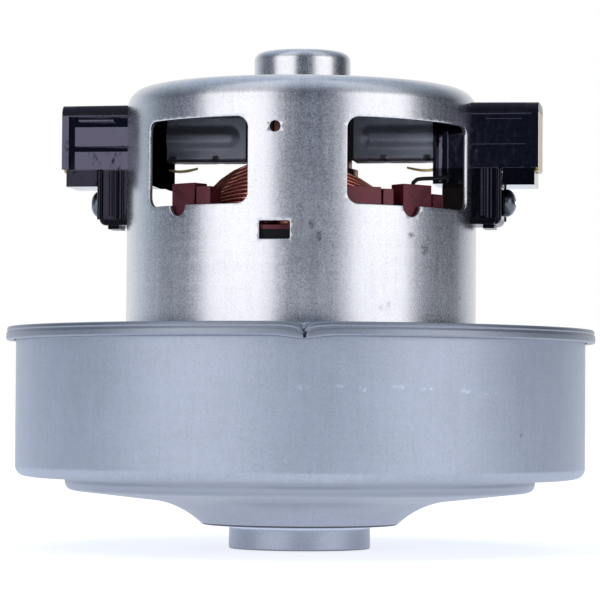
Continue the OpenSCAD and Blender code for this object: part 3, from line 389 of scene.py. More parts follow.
def sheet_finish(name, colour, rough, radius, specks, mottle, hollow=None, rim_r=None, scuffs=(), lines=()):
    """Zinc-coated drawn steel: grain, soft mottling, faint drawing lines, small dark specks, rubbed marks,
    and bands by height that carry painted shade and painted highlights.

    The inner faces of a hollow (its top and its shoulder radius) get painted shade: a dark colour, with no
    metal and no specular.
    The sheet beyond rim_r is darker and rougher."""
    s = Shader(name)
    wall = s.unrolled(radius)
    at = s.place()
    x, y, z = s.axes(at)
    grain = s.noise(at, 2600.0, 2.0, 0.6)
    spots = s.noise(at, 800.0, 3.0, 0.6)
    clouds = s.noise(at, 90.0, 3.0, 0.5)
    streaks = s.noise(s.scaled(wall, 1.0, 0.06, 1.0), 700.0, 3.0, 0.6)
    rings = s.noise(s.scaled(wall, 0.03, 1.0, 1.0), 800.0, 2.0, 0.6)
    tone = s.span(grain, 0.3, 0.7, -0.9, 0.9)
    for part, share in ((spots, 0.6), (clouds, 0.6), (streaks, 0.7), (rings, 0.35)):
        tone = s.math("ADD", tone, s.span(part, 0.3, 0.7, -share / 2, share / 2))
    tone = s.span(tone, -1.6, 1.6, 0.0, 1.0)
    base = s.mix(tone, shade(colour, 1 - mottle), shade(colour, 1 + mottle))

    cells = s.node("TexVoronoi", {"Vector": at, "Scale": 210.0}, feature="F1").node.outputs
    rare = s.span(s.node("SeparateColor", {0: cells["Color"]}), specks, specks + 0.01, 0.0, 1.0)
    dot = s.math("MULTIPLY", s.span(cells["Distance"], 0.07, 0.12, 1.0, 0.0), rare)
    base = s.mix(s.math("MULTIPLY", dot, 0.5), base, shade(colour, 0.25))

    along, up, _ = s.axes(wall)
    patchy = s.span(spots, 0.45, 0.6, 0.0, 1.0)
    for angle, height, half_l, half_h, level in scuffs:
        middle = math.radians(180 - angle) * radius
        u = s.math("MULTIPLY", s.math("SUBTRACT", along, middle * MM), 1 / (half_l * MM))
        v = s.math("MULTIPLY", s.math("SUBTRACT", up, height * MM), 1 / (half_h * MM))
        rubbed = s.math("MULTIPLY", s.span(s.squares(u, v), 0.2, 1.0, 1.0, 0.0), patchy)
        base = s.mix(rubbed, base, shade(colour, level))
    # Bands by height, with painted shade and painted highlights among them
    for low_z, high_z, level in lines:
        middle, half = (low_z + high_z) / 2, (high_z - low_z) / 2
        away = s.math("ABSOLUTE", s.math("SUBTRACT", z, middle * MM))
        base = s.mix(s.span(away, half * 0.7 * MM, half * MM, 1.0, 0.0), base, shade(colour, level))

    roughness = s.span(tone, 0.0, 1.0, rough - 0.05, rough + 0.05)
    metal = 1.0
    out = s.math("SQRT", s.squares(x, y))
    # Painted shade on the inner faces of the can
    if hollow:
        top, corner = hollow
        aside = s.math("MAXIMUM", s.math("SUBTRACT", out, (radius - corner) * MM), 0.0)
        above = s.math("MAXIMUM", s.math("SUBTRACT", z, (top - corner) * MM), 0.0)
        off = s.math("SQRT", s.squares(aside, above))
        painted_inner_shade = s.span(off, (corner - 0.6) * MM, (corner - 0.5) * MM, 0.85, 0.0)
        base = s.mix(painted_inner_shade, base, shade(colour, 0.05))
        metal = s.span(painted_inner_shade, 0.0, 0.85, 1.0, 0.0)
        s.set(Specular_IOR_Level=s.span(painted_inner_shade, 0.0, 0.85, 0.5, 0.0))
    if rim_r:
        rolled = s.span(out, (rim_r - 0.6) * MM, rim_r * MM, 0.0, 1.0)
        base = s.mix(rolled, base, s.mix(tone, (0.27, 0.29, 0.34, 1), (0.35, 0.375, 0.44, 1)))
        roughness = s.math("ADD", roughness, s.math("MULTIPLY", rolled, 0.14))
    uneven = s.math("ADD", grain, spots)
    s.set(Base_Color=base, Metallic=metal, Roughness=roughness, Normal=s.bump(uneven, 0.2, 0.010))
    return s.material


def moulding_finish(name, colour, sheen, rail_z, leg_z, toe_z, neck_x):
    """Glossy moulding with a wavy skin, duller on its rails, legs and toes; the left neck has its gloss taken
    out as painted shade.
    """
    s = Shader(name)
    at = s.place()
    fine, waves = s.noise(at, 900.0), s.noise(at, 260.0, 2.0)
    x, _, z = s.axes(at)
    dull = s.math("MAXIMUM", s.span(z, (rail_z - 0.2) * MM, rail_z * MM, 0.0, 1.0),
                  s.span(z, toe_z * MM, (toe_z + 0.6) * MM, 1.0, 0.0))
    # Painted shade: the left neck alone loses its gloss, so it reads dark
    left_neck_shade = s.math("MULTIPLY", s.span(x, (-neck_x - 1.0) * MM, -neck_x * MM, 0.0, 1.0),
                       s.math("LESS_THAN", x, 0.0))
    rough = s.math("ADD", s.span(fine, 0.3, 0.7, 0.06, 0.11), s.math("MULTIPLY", dull, 0.16))
    gloss = s.math("MULTIPLY", s.span(dull, 0.0, 1.0, 1.0, 0.25), s.span(left_neck_shade, 0.0, 1.0, 1.0, 0.0))
    gloss = s.math("MULTIPLY", gloss, s.span(z, (leg_z - 0.2) * MM, leg_z * MM, 0.32, 1.0))
    by_side = s.span(x, -1.0 * MM, 1.0 * MM, 1.7, 0.7)
    wavy = s.bump(s.math("MULTIPLY", waves, by_side), 0.8, 0.13)
    skin = s.node("Bump", {"Height": fine, "Strength": 0.3, "Distance": 0.010 * MM, "Normal": wavy})
    s.set(Base_Color=s.mix(fine, shade(colour, 0.7), shade(colour, 1.3)), Roughness=rough, Normal=skin,
          Specular_IOR_Level=gloss, Specular_Tint=(*sheen, 1.0), IOR=1.54)
    return s.material


# Colour, metal, roughness; then grain, spread, bump, stretch and gloss where they aren't the usual ones
PLAIN = {
    "tube_steel": ((0.33, 0.35, 0.41), 0.7, 0.46, 1900.0, 0.22, 0.006),
    # The formers' own dark red, set darker still as painted shade inside the can
    "former_plastic": ((0.12, 0.013, 0.022), 0.3, 0.3, 500.0, 0.25, 0.03),
    "copper_wire": ((0.92, 0.33, 0.26), 0.85, 0.17, 700.0, 0.2, 0.01),
    "lead_cover": ((0.007, 0.007, 0.008), 0.0, 0.5, 1200.0, 0.3, 0.02, (1, 1, 1), 0.2),
    "brass": ((0.55, 0.42, 0.19), 1.0, 0.34, 1400.0, 0.12, 0.01, (1, 0.2, 1)),
    "screw_steel": ((0.13, 0.14, 0.165), 1.0, 0.24, 1500.0, 0.2, 0.01),
    "seal_plastic": ((0.72, 0.71, 0.66), 0.0, 0.5),
    "diffuser_plastic": ((0.03, 0.03, 0.033), 0.0, 0.45),
    "bracket_steel": ((0.55, 0.58, 0.62), 1.0, 0.4, 1200.0, 0.12),
    # The lamination's near-black colour, with no metal, is painted shade inside the can
    "lamination": ((0.008, 0.007, 0.009), 0.0, 0.5, 900.0, 0.4, 0.05, (0.15, 0.15, 3), 0.12),
    "spring_steel": ((0.62, 0.62, 0.63), 1.0, 0.3),
    "carbon": ((0.035, 0.035, 0.038), 0.1, 0.55, 1800.0, 0.4, 0.03),
    "sleeve_rubber": ((0.022, 0.022, 0.023), 0.0, 0.6),
    "bearing_steel": ((0.72, 0.73, 0.75), 1.0, 0.18, 1500.0, 0.06, 0.005),
    "shaft_steel": ((0.62, 0.63, 0.66), 1.0, 0.25, 1500.0, 0.08, 0.01, (1, 1, 4)),
    "insulation": ((0.62, 0.60, 0.52), 0.0, 0.6, 700.0, 0.2),
    "commutator_resin": ((0.10, 0.042, 0.030), 0.0, 0.4, 900.0, 0.3),
    "commutator_copper": ((0.30, 0.13, 0.085), 1.0, 0.33, 1600.0, 0.2, 0.02, (1, 1, 4)),
    "impeller_aluminium": ((0.74, 0.75, 0.77), 1.0, 0.32, 1300.0, 0.08, 0.01),
}
# Rubbed places on the can and the cover: angle, height, half length, half height, tone
CAN_SCUFFS = ((11.5, 72.0, 0.7, 1.3, 0.3), (14, 69.4, 0.8, 1.6, 0.3), (45, 70.2, 1.4, 1.0, 0.35),
              (51, 67.4, 1.3, 1.7, 0.35), (36, 54.5, 2.6, 1.6, 0.8), (-30, 56.0, 2.0, 1.2, 0.85))
COVER_SCUFFS = ((-27, 22.2, 2.0, 0.7, 1.6), (-33, 17.6, 2.2, 0.7, 1.6), (-36, 16.9, 2.4, 0.4, 0.5),
                (-14, 44.0, 2.0, 1.4, 1.25), (9, 36.4, 1.6, 0.8, 1.25), (16, 36.9, 1.4, 0.5, 1.35),
                (20, 36.3, 0.9, 1.0, 1.4), (27, 36.7, 1.8, 0.7, 1.35), (32, 36.4, 2.6, 0.5, 1.45),
                (41, 35.9, 1.8, 0.7, 1.3), (47, 35.5, 3.0, 0.5, 1.3), (55, 27.0, 0.8, 1.2, 0.5))
# Bands round the cover, from height to height, and their tone: painted shade on the step, painted shade on
# the lip, a painted highlight on the bend over the collar, and a darker band at the collar's bottom end
COVER_SHADE_AND_HIGHLIGHT_BANDS = ((STEP_Z - 0.1, FLOOR_Z + 0.6, 0.84), (COLLAR_H + 0.02, COLLAR_H + 0.45, 0.2),
               (COLLAR_H - 0.7, COLLAR_H - 0.04, 1.7), (-0.2, 0.35, 0.55))
MATERIALS = {name: plain_finish(name, *values) for name, values in PLAIN.items()}
MATERIALS["can_steel"] = sheet_finish("can_steel", (0.635, 0.638, 0.672), 0.265, CAN_R, 0.972, 0.22,
                                      hollow=(CAN_Z, SHOULDER_R), rim_r=CUP_R, scuffs=CAN_SCUFFS)
MATERIALS["cover_steel"] = sheet_finish("cover_steel", (0.43, 0.465, 0.55), 0.45, CUP_R, 0.985, 0.16,
                                        scuffs=COVER_SCUFFS, lines=COVER_SHADE_AND_HIGHLIGHT_BANDS)
MATERIALS["holder_plastic"] = moulding_finish("holder_plastic", (0.0022, 0.0022, 0.0036), (0.72, 0.70, 1.0),
                                              rail_z=BLOCK_TOP_Z - 2.35, leg_z=LEG_TOP_Z, toe_z=LEG_Z + 1.0,
                                              neck_x=CAN_R - 6.0)
SLOT_OF = {part["node"]: part["material_slot"] for part in frame["record"]["subparts"]}
for node_name, node_object in frame["nodes"].items():
    node_object.data.materials.clear()
    node_object.data.materials.append(MATERIALS[SLOT_OF[node_name]])


# Motor can: the wall is laid out flat, cut round its openings and rolled up. Columns are closer at the crimp
SLOT_CORNER_R = 0.35
NECK_HOLE_W, NECK_HOLE_CORNER_R = 12.5, 0.4
NECK_HOLE_TOP_Z = CAN_Z - SHOULDER_R - 0.35
SCREW_HOLE_R = SCREW_R + 0.05
WALL_ROWS = 24
# How close to an opening the wall's grid is looked at, and how far it stays off
LOOK_MARGIN, GRID_GAP = 0.7, 0.55
CRIMP_REACH = 6.0
CRIMP_FROM_R, CRIMP_FULL_R = RIM_R - 3.6, RIM_R - 0.4
FOLD_DEPTH, FOLD_L = 2.3, 1.0
FOLD_SAG, FOLD_SAG_L = 0.7, 4.0
# The hole beside the fold: depth, place and half width along the rim, both again as shares of its height
HOLE_DEPTH = 1.3
HOLE_AT, HOLE_HALF_W = 0.22, 0.28
HOLE_UP, HOLE_HALF_H = 0.45, 0.3
# The rolled rim: distance in from its edge, depth under the flange, radius
RIM_ROLL = ((2.6, 0.0, 0.4), (1.9, 0.2, 0.3), (1.2, 0.0, 0.3), (0.35, 0.0, 0.45), (0.12, 0.75, 0.2),
            (0.3, 1.0, 0.2), (0.0, 1.5, 0.6), (0.0, RIM_H, 0.5), (0.8, RIM_H + 0.1, 0.2))
CAN_ANGLES = sorted({float(SEAM_AT - 360 + k) for k in range(360)}
                    | {CRIMP_AT + CRIMP_REACH * k / 40 for k in range(-40, 41)})


def window_outline(width, notch):
    x, r, sill, top = width / 2, WINDOW_R, SILL_Z, SILL_Z + WINDOW_H
    return (arc(-x + r, sill + r, r, 180, 270) + arc(notch, sill, NOTCH_R, 180, 360)
            + arc(x - r, sill + r, r, 270, 360) + arc(x - r, top - r, r, 0, 90)
            + arc(-x + r, top - r, r, 90, 180))


def box_outline(z, width, height, r):
    x, y = width / 2 - r, height / 2 - r
    return (arc(-x, z - y, r, 180, 270) + arc(x, z - y, r, 270, 360) + arc(x, z + y, r, 0, 90)
            + arc(-x, z + y, r, 90, 180))


def can_openings():
    """Each opening as its middle angle and its outline in the flat."""
    neck_z, neck_h = (NECK_LOW_Z + NECK_HOLE_TOP_Z) / 2, NECK_HOLE_TOP_Z - NECK_LOW_Z
    front = [
        (WIDE_WINDOW[0], window_outline(*WIDE_WINDOW[1:])),
        (NARROW_WINDOW[0], window_outline(*NARROW_WINDOW[1:])),
        (0.0, arc(0, PIN_HOLE[0], PIN_HOLE[1], 0, 345, 15)),
        (0.0, box_outline(*SLOT, SLOT_CORNER_R)),
        (90.0, box_outline(neck_z, NECK_HOLE_W, neck_h, NECK_HOLE_CORNER_R)),
        (90.0, arc(0, SCREW_Z, SCREW_HOLE_R, 0, 345, 15)),
    ]
    return [(angle + turn, split_long(loop, 1.0)) for turn in (0, 180) for angle, loop in front]


def on_wall(angle, x):
    """Distance along the unrolled wall of a point that is punched at x from the middle of an opening."""
    at = angle + math.degrees(math.asin(x / CAN_R))
    while at >= SEAM_AT:
        at -= 360
    return math.radians(at) * CAN_R


def inside(p, loop):
    """Whether a point lies in a closed loop."""
    hit = False
    for (x0, y0), (x1, y1) in zip(loop, loop[1:] + loop[:1]):
        if (y0 > p[1]) != (y1 > p[1]) and p[0] < (x1 - x0) * (p[1] - y0) / (y1 - y0) + x0:
            hit = not hit
    return hit


def can_wall(z_low, z_high):
    """Outer and inner wall with the openings, their edges broken."""
    loops, rings = [], []
    for angle, outline in can_openings():
        rows = [(-EDGE + EDGE * math.sin(t), EDGE - EDGE * math.cos(t)) for t in (0, 0.52, 1.05, 1.57)]
        rows += [(grow, CAN_T - depth) for grow, depth in reversed(rows)]
        grown = [[(on_wall(angle, x), z) for x, z in shifted(outline, grow, True)] for grow, _ in rows]
        loops.append(grown[0])
        rings.append([(loop, depth) for loop, (_, depth) in zip(grown, rows)])
    coords, edges = [], []
    for loop in loops:
        n = len(coords)
        coords += loop
        edges += [(n + i, n + (i + 1) % len(loop)) for i in range(len(loop))]
    boxes = []
    for loop in loops:
        xs, zs = zip(*loop)
        boxes.append((min(xs) - LOOK_MARGIN, max(xs) + LOOK_MARGIN,
                      min(zs) - LOOK_MARGIN, max(zs) + LOOK_MARGIN))

    def near(x, z):
        """The openings that a point on the flat wall is in or close to."""
        return [loop for loop, (x0, x1, z0, z1) in zip(loops, boxes) if x0 < x < x1 and z0 < z < z1]

    for angle in CAN_ANGLES + [SEAM_AT]:
        x = math.radians(angle) * CAN_R
        for i in range(WALL_ROWS + 1):
            p = (x, z_low + (z_high - z_low) * i / WALL_ROWS)
            if not any(inside(p, loop) or min(math.dist(p, q) for q in loop) < GRID_GAP for loop in near(*p)):
                coords.append(p)
    flat, _, triangles, *_ = delaunay_2d_cdt([Vector(c) for c in coords], edges, [], 0, 1e-7)
    kept = []
    for t in triangles:
        middle = [sum(flat[i][axis] for i in t) / len(t) for axis in (0, 1)]
        if not any(inside(middle, loop) for loop in near(*middle)):
            kept.append(tuple(t))

    def rolled(line, depth):
        return [around(CAN_R - depth, math.degrees(x / CAN_R), z) for x, z in line]

    parts = [(rolled(flat, 0), kept), (rolled(flat, CAN_T), [t[::-1] for t in kept])]
    for ring in rings:
        n = len(ring[0][0])
        points = [p for loop, depth in ring for p in rolled(loop, depth)]
        parts.append((points, [(r * n + i, r * n + (i + 1) % n, (r + 1) * n + (i + 1) % n, (r + 1) * n + i)
                               for r in range(len(ring) - 1) for i in range(n)]))
    return joined(*parts)


def crimped(p):
    """The rim's crimp mark: its lines run down into a fold beside a small hole."""
    r = math.hypot(p[0], p[1])
    if r < CRIMP_FROM_R:
        return p
    d = math.radians(math.degrees(math.atan2(p[0], -p[1])) - CRIMP_AT) * r
    upper = max(0.0, min(1.0, (p[2] - RIM_Z) / RIM_H))
    outer = eased((r - CRIMP_FROM_R) / (CRIMP_FULL_R - CRIMP_FROM_R))
    fold = FOLD_DEPTH * math.exp(-abs(d) / FOLD_L) * upper
    fold += FOLD_SAG * math.exp(-(d / FOLD_SAG_L) ** 2) * (1 - upper)
    hole = HOLE_DEPTH * math.exp(-((d - HOLE_AT) / HOLE_HALF_W) ** 2 - ((upper - HOLE_UP) / HOLE_HALF_H) ** 2)
    shrink = 1 - outer * hole / r
    return (p[0] * shrink, p[1] * shrink, p[2] - outer * fold)


def build_can():
    """The can in one piece: shoulder and bearing cup, wall with openings, flange and rolled rim."""
    z_low, z_high = FLANGE_Z + FLANGE_BEND_R, CAN_Z - SHOULDER_R
    top = rounded([(CAN_R, z_high, 0), (CAN_R, CAN_Z, SHOULDER_R), (BOSS_R, CAN_Z, BOSS_BEND_R),
                   (BOSS_R, BOSS_Z, BOSS_EDGE_R), (0, BOSS_Z, 0)])
    rim = rounded([(CAN_R, z_low, 0), (CAN_R, FLANGE_Z, FLANGE_BEND_R), (CRIMP_FROM_R, FLANGE_Z, 0)]
                  + [(RIM_R - inward, FLANGE_Z - down, r) for inward, down, r in RIM_ROLL]
                  + [(CUP_R + 0.45, RIM_Z + 0.1, 0)])
    lines = (top, shifted(top, CAN_T), rim + shifted(rim, -CAN_T)[::-1])
    shape = joined(can_wall(z_low, z_high), *(revolve(line, CAN_ANGLES, False) for line in lines))
    return [crimped(p) for p in shape[0]], shape[1]


piece("can_shell", build_can(), "can_steel", ["motor_housing"], weighted=True)


# Fan cover
def build_cover():
    """The cup with its dished floor, flare and inlet collar, turned from one section."""
    line = rounded([(COLLAR_R - 0.15, 0.0, 0), (COLLAR_R + 0.1, 0.35, 0.3), (COLLAR_R, COLLAR_H, 1.0),
                    (LIP_R, COLLAR_H, 0.55), (FLARE_R, FLARE_Z, FLARE_BEND_R), (STEP_R, STEP_Z, 2.0),
                    (STEP_R, FLOOR_Z, 0.7), (CUP_R - 3.05, FLOOR_Z, 0.5), (CUP_R - 2.65, FLOOR_Z + 0.15, 0.5),
                    (CUP_R, FLOOR_Z, 2.4), (CUP_R, COVER_TOP_Z, 0.3), (RIM_R - 1.6, COVER_TOP_Z, 0)], 5)
    return revolve(sheet_section(line, COVER_T), even_turn(320))


piece("cover_shell", build_cover(), "cover_steel", ["fan_cover"], sharp=40)


# Brush gear, drawn on the right and turned for the left
HOLDER_W = high("brush_holder_right").y
LEG_W = 6.5
MOULD_EDGE, PLATE_EDGE, FORMER_EDGE = 0.13, 0.2, 0.22
RAIL_R = 2.3
TOE_R, TOE_FROM_X = 1.5, BLOCK_X - 10
BLOCK_IN_X = CAN_R - 0.35
SIDE_Z = (BLOCK_TOP_Z - 15, BLOCK_TOP_Z - 2.5)
PANEL_END_X, PANEL_TOP_Z, PANEL_DROP = BLOCK_X - 2.98, BLOCK_TOP_Z - 2.7, 0.4
GROOVE_X, GROOVE_DEPTH = BLOCK_X - 1.6, 1.3
GROOVE_SLANT = math.tan(math.radians(7.5))
# Ridges on the leg's faces: distance in from the block's end, half width, depth as a share of it, gap below
FLUTES = {1: ((8.9, 0.7, 1.0, 1.3), (11.8, 0.3, 1.0, 1.9), (12.7, 0.5, 1.0, 1.4), (13.9, 0.75, 1.0, 1.2)),
          -1: ((12.6, 0.55, 0.5, 1.9), (11.25, 0.75, 0.5, 1.5), (8.85, 0.5, 0.7, 1.1))}
FLUTE_SINK, FLUTE_TOP_Z = 0.3, LEG_TOP_Z - 0.2
# Ridge round the neck's end
NECK_BEAD_X, NECK_BEAD_Y = NECK_X + 2.2, NECK_W - 0.03
NECK_BEAD_R, NECK_BEAD_FLAT = 1.5, 0.3
NECK_BEAD_Z = (NECK_LOW_Z + 0.4, BLOCK_TOP_Z - 4.5)
# Corners of the line under the rail, the band on the leg and its foot
STREAK = ((BLOCK_X - 12, HOLDER_W - 2.5, BLOCK_TOP_Z - 3.75),
          (BLOCK_X - 3.8, HOLDER_W - 0.6, BLOCK_TOP_Z - 3.35))
BAND = (BLOCK_X - 11.1, LEG_W - 1.5, LEG_Z + 2.0), (BLOCK_X - 9.85, LEG_W + 0.4, LEG_TOP_Z - 0.7)
FOOT = (BLOCK_X - 12.8, -3.5, LEG_Z - 0.75), (BLOCK_X - 10.2, 3.5, LEG_Z + 0.5)
# A corner this close to a face lies on it
NEAR = 0.1


def add_box(bm, corners, x_sign, y_sign):
    """A closed box between two corners, on the side that the signs give."""
    a, b = (Vector((x_sign * x, y_sign * y, z)) for x, y, z in corners)
    size = [abs(length) * MM for length in b - a]
    place = Matrix.Translation((a + b) / 2 * MM) @ Matrix.Diagonal((*size, 1))
    bmesh.ops.create_cube(bm, size=1, matrix=place)


def round_off(bm, edges, radius):
    bmesh.ops.bevel(bm, geom=edges, offset=radius * MM, segments=8, profile=0.5, affect="EDGES")


def add_post(bm, x, y, r, flat, z_low, z_high):
    """A closed upright round bar, flattened towards its face."""
    place = Matrix.Translation(Vector((x, y, (z_low + z_high) / 2)) * MM) @ Matrix.Diagonal((1, flat, 1, 1))
    bmesh.ops.create_cone(bm, cap_ends=True, segments=36, radius1=r * MM, radius2=r * MM,
                          depth=(z_high - z_low) * MM, matrix=place)


def mould_details(sign):
    """Round rails, a panel set lower than them, slanted groove floors, and the ridges and foot of the leg."""
    def change(bm):
        rails = [e for e in bm.edges if all(v.co.z > (BLOCK_TOP_Z - NEAR) * MM for v in e.verts)
                 and abs(e.verts[0].co.y + e.verts[1].co.y) > 2 * (HOLDER_W - NEAR) * MM]
        round_off(bm, rails, RAIL_R)
        toe = [e for e in bm.edges if all(v.co.z < (LEG_Z + NEAR) * MM and sign * v.co.x > TOE_FROM_X * MM
                                          for v in e.verts)]
        round_off(bm, toe, TOE_R)
        for x in (BLOCK_IN_X, PANEL_END_X):
            everything = list(bm.verts) + list(bm.edges) + list(bm.faces)
            bmesh.ops.bisect_plane(bm, geom=everything, plane_co=(sign * x * MM, 0, 0), plane_no=(1, 0, 0))
        for v in bm.verts:
            x, y, z = v.co / MM
            if not SIDE_Z[0] < z < SIDE_Z[1]:
                continue
            in_groove = abs(abs(y) - HOLDER_W + GROOVE_DEPTH) < NEAR
            if abs(y) > HOLDER_W - NEAR:
                if z < PANEL_TOP_Z and sign * x < GROOVE_X - NEAR:
                    v.co.y -= math.copysign(PANEL_DROP * MM, y)
            elif in_groove and sign * y > 0 and sign * x > BLOCK_IN_X - 0.01:
                v.co.y -= math.copysign(GROOVE_SLANT * (GROOVE_X - sign * x) * MM, y)
        for face in (-1, 1):
            for in_by, r, flat, short in FLUTES[sign * face]:
                x, y = sign * (BLOCK_X - in_by), face * (LEG_W - FLUTE_SINK * r * flat)
                add_post(bm, x, y, r, flat, LEG_Z + short, FLUTE_TOP_Z)
            add_post(bm, sign * NECK_BEAD_X, face * NECK_BEAD_Y, NECK_BEAD_R, NECK_BEAD_FLAT, *NECK_BEAD_Z)
            add_box(bm, STREAK, sign, face)
        add_box(bm, BAND, sign, sign)
        add_box(bm, FOOT, sign, 1)
    return change


def strip(path, width, thickness, taper):
    """Flat strip along a path in the XZ plane, narrowing to its end."""
    points, faces = [], []
    for i, (x, z) in enumerate(path):
        w = width / 2 * (1 - taper * (i / (len(path) - 1)) ** 2)
        points += [(x, -w, z), (x, w, z), (x, w, z - thickness), (x, -w, z - thickness)]
    for i in range(len(path) - 1):
        for k in range(4):
            a, b = 4 * i + k, 4 * i + (k + 1) % 4
            faces.append((a, b, b + 4, a + 4))
    return points, faces + [(3, 2, 1, 0), tuple(range(len(points) - 4, len(points)))]


def turned(shape, side):
    return half_turn(shape) if side == "left" else shape


TUBE_T = 0.6
TUBE_X, TUBE_END = low("brush_tube_right").x, high("brush_tube_right").x
TUBE_CORNER_R, TUBE_INNER_R = 0.9, 0.4
BEAD_H, BEAD_DEPTH, BEAD_EDGE, BEAD_GAP = 6.0, 0.66, 2.6, 1.0
# Nicks in the tube's edges: places, half length, depth on the side and on top, reach over both
NICKS = (TUBE_X + 7, NECK_X - 1.6)
NICK_HALF_L, NICK_IN, NICK_DOWN = 0.55, 0.55, 0.45
NICK_REACH_Z, NICK_REACH_Y, NICK_EASE = 1.2, 1.4, 0.8


def brush_tube():
    """Folded tube with a pressed bead on both sides and nicks in its edges."""
    y, z = TUBE_W / 2, TUBE_H / 2

    def ring(y, z, r):
        sides = [(-y, z, -y, -z, 30), (-y, -z, y, -z, 8), (y, -z, y, z, 30), (y, z, -y, z, 8)]
        line = []
        for y0, z0, y1, z1, n in sides:
            length = math.hypot(y1 - y0, z1 - z0)
            a, b = r / length, 1 - r / length
            for k in range(n + 1):
                t = a + (b - a) * k / n
                line.append((y0 + (y1 - y0) * t, z0 + (z1 - z0) * t))
            turn = math.degrees(math.atan2(z1 - z0, y1 - y0))
            cy, cz = y1 - r * math.copysign(1, y1), z1 - r * math.copysign(1, z1)
            line += arc(cy, cz, r, turn - 90, turn, 15)[1:-1]
        return line

    outer, inner = ring(y, z, TUBE_CORNER_R), ring(y - TUBE_T, z - TUBE_T, TUBE_INNER_R)
    bead_low, bead_high = TUBE_X + BEAD_GAP + BEAD_H / 2, NECK_X
    stations = sorted({round(TUBE_X + (NECK_X - TUBE_X) * k / 90, 3) for k in range(91)} | {TUBE_END})
    points, faces = [], []
    for x in stations:
        for py, pz in outer:
            beyond = max(bead_low - x, 0, x - bead_high)
            bead = eased((BEAD_H / 2 - math.hypot(beyond, pz)) / BEAD_EDGE) if abs(py) > y - 0.01 else 0
            nick = max(eased(1.6 - abs(x - at) / NICK_HALF_L) for at in NICKS)
            nick *= eased((abs(pz) - z + NICK_REACH_Z) / NICK_EASE)
            nick *= eased((abs(py) - y + NICK_REACH_Y) / NICK_EASE)
            points.append((x, py + math.copysign(BEAD_DEPTH * bead - NICK_IN * nick, py),
                           BRUSH_Z + pz - math.copysign(NICK_DOWN * nick, pz)))
    n = len(outer)
    for i in range(len(stations) - 1):
        a, b = i * n, (i + 1) * n
        faces += [(a + k, a + (k + 1) % n, b + (k + 1) % n, b + k) for k in range(n)]
    hollow = len(points)
    points += [(x, py, BRUSH_Z + pz) for x in (TUBE_X, TUBE_END) for py, pz in inner]
    m = len(inner)
    faces += [(hollow + k, hollow + m + k, hollow + m + (k + 1) % m, hollow + (k + 1) % m) for k in range(m)]
    last = (len(stations) - 1) * n
    for start, hole in ((0, hollow), (last, hollow + m)):
        faces += [(start + k, start + (k + 1) % n, hole + (k + 1) % m, hole + k) for k in range(n)]
    return points, faces


BLADE_L, BLADE_W, BLADE_T, BLADE_TAPER = 6.9, 2.6, 0.5, 0.75
BLADE_Z, BLADE_BOW, BLADE_LIFT = BRUSH_Z - 6.75, 0.55, 0.25
blade_path = [(NECK_X + 0.3 - BLADE_L * t,
               BLADE_Z - BLADE_BOW * math.sin(math.pi * t ** 0.8) + BLADE_LIFT * t)
              for t in (k / 14 for k in range(15))]
blade = strip(blade_path, BLADE_W, BLADE_T, BLADE_TAPER)
for side, sign in (("left", -1), ("right", 1)):
    from_cad("brush_holder_" + side, "holder_body_" + side, "holder_plastic", MOULD_EDGE, sharp=14,
             change=mould_details(sign))
    piece("tube_body_" + side, turned(brush_tube(), side), "tube_steel", ["brush_tube_" + side], sharp=50)
    from_cad("brush_terminal_" + side, "end_plate_" + side, "brass", PLATE_EDGE)
    piece("contact_blade_" + side, turned(blade, side), "brass", ["terminal_blade_" + side])


# Screws: pan heads with a cross recess, on their shanks
HEAD_R, HEAD_H = 3.15, 3.0
HEAD_X = high("holder_screws").x - HEAD_H
HEAD_EDGE, HEAD_RIM_H = 0.2, 0.9
SHANK_L = 8
# The cross recess: half width and half length, how wide its walls and its ends slope, and its depth
CROSS_HALF_W, CROSS_HALF_L = 0.48, 1.75
CROSS_WALL, CROSS_END = 0.16, 0.3
CROSS_DEPTH = 1.3


def cross_depth(u, v):
    """Depth of the cross recess at a place on the head."""
    across, along = min(abs(u), abs(v)), max(abs(u), abs(v))
    wall = max(0.0, min(1.0, (CROSS_HALF_W - across) / CROSS_WALL))
    end = max(0.0, min(1.0, (CROSS_HALF_L - along) / CROSS_END))
    return CROSS_DEPTH * wall * end


def screw():
    """One screw along X, on the right."""
    columns, rings = 96, 34
    profile = [(0.0, HEAD_X - SHANK_L), (SCREW_R, HEAD_X - SHANK_L), (SCREW_R, HEAD_X),
               (HEAD_R - HEAD_EDGE, HEAD_X), (HEAD_R, HEAD_X + HEAD_EDGE), (HEAD_R, HEAD_X + HEAD_RIM_H)]
    crown = [(HEAD_R * math.sin(t), HEAD_X + HEAD_RIM_H + (HEAD_H - HEAD_RIM_H) * math.cos(t))
             for t in (math.pi / 2 * (1 - (k + 1) / rings) for k in range(rings))]
    points, faces = [], []
    section = profile + crown
    n = len(section)
    for k in range(columns):
        a = math.tau * k / columns
        for i, (r, x) in enumerate(section):
            u, v = r * math.cos(a), r * math.sin(a)
            points.append((x - (cross_depth(u, v) if i >= len(profile) else 0), u, SCREW_Z + v))
    for k in range(columns):
        after = (k + 1) % columns
        faces += [(k * n + i, after * n + i, after * n + i + 1, k * n + i + 1) for i in range(n - 1)]
    return points, faces


piece("pan_screws", joined(screw(), half_turn(screw())), "screw_steel", ["holder_screws"], sharp=50)
for end in ("front", "rear"):
    from_cad("coil_former_" + end, "former_body_" + end, "former_plastic", FORMER_EDGE)


# Field coils: the outer layer as the wire runs, and more layers behind it
STACK_Z, STACK_TOP_Z = low("field_core").z, high("field_core").z
WIRE_D = 0.7
WIRE_PITCH = 1.2
LOOPS = 10
COIL_SPAN = 58.0
COIL_REACH = 33.5
COIL_RISE = 16.1
KEEL_DROP = 3.2
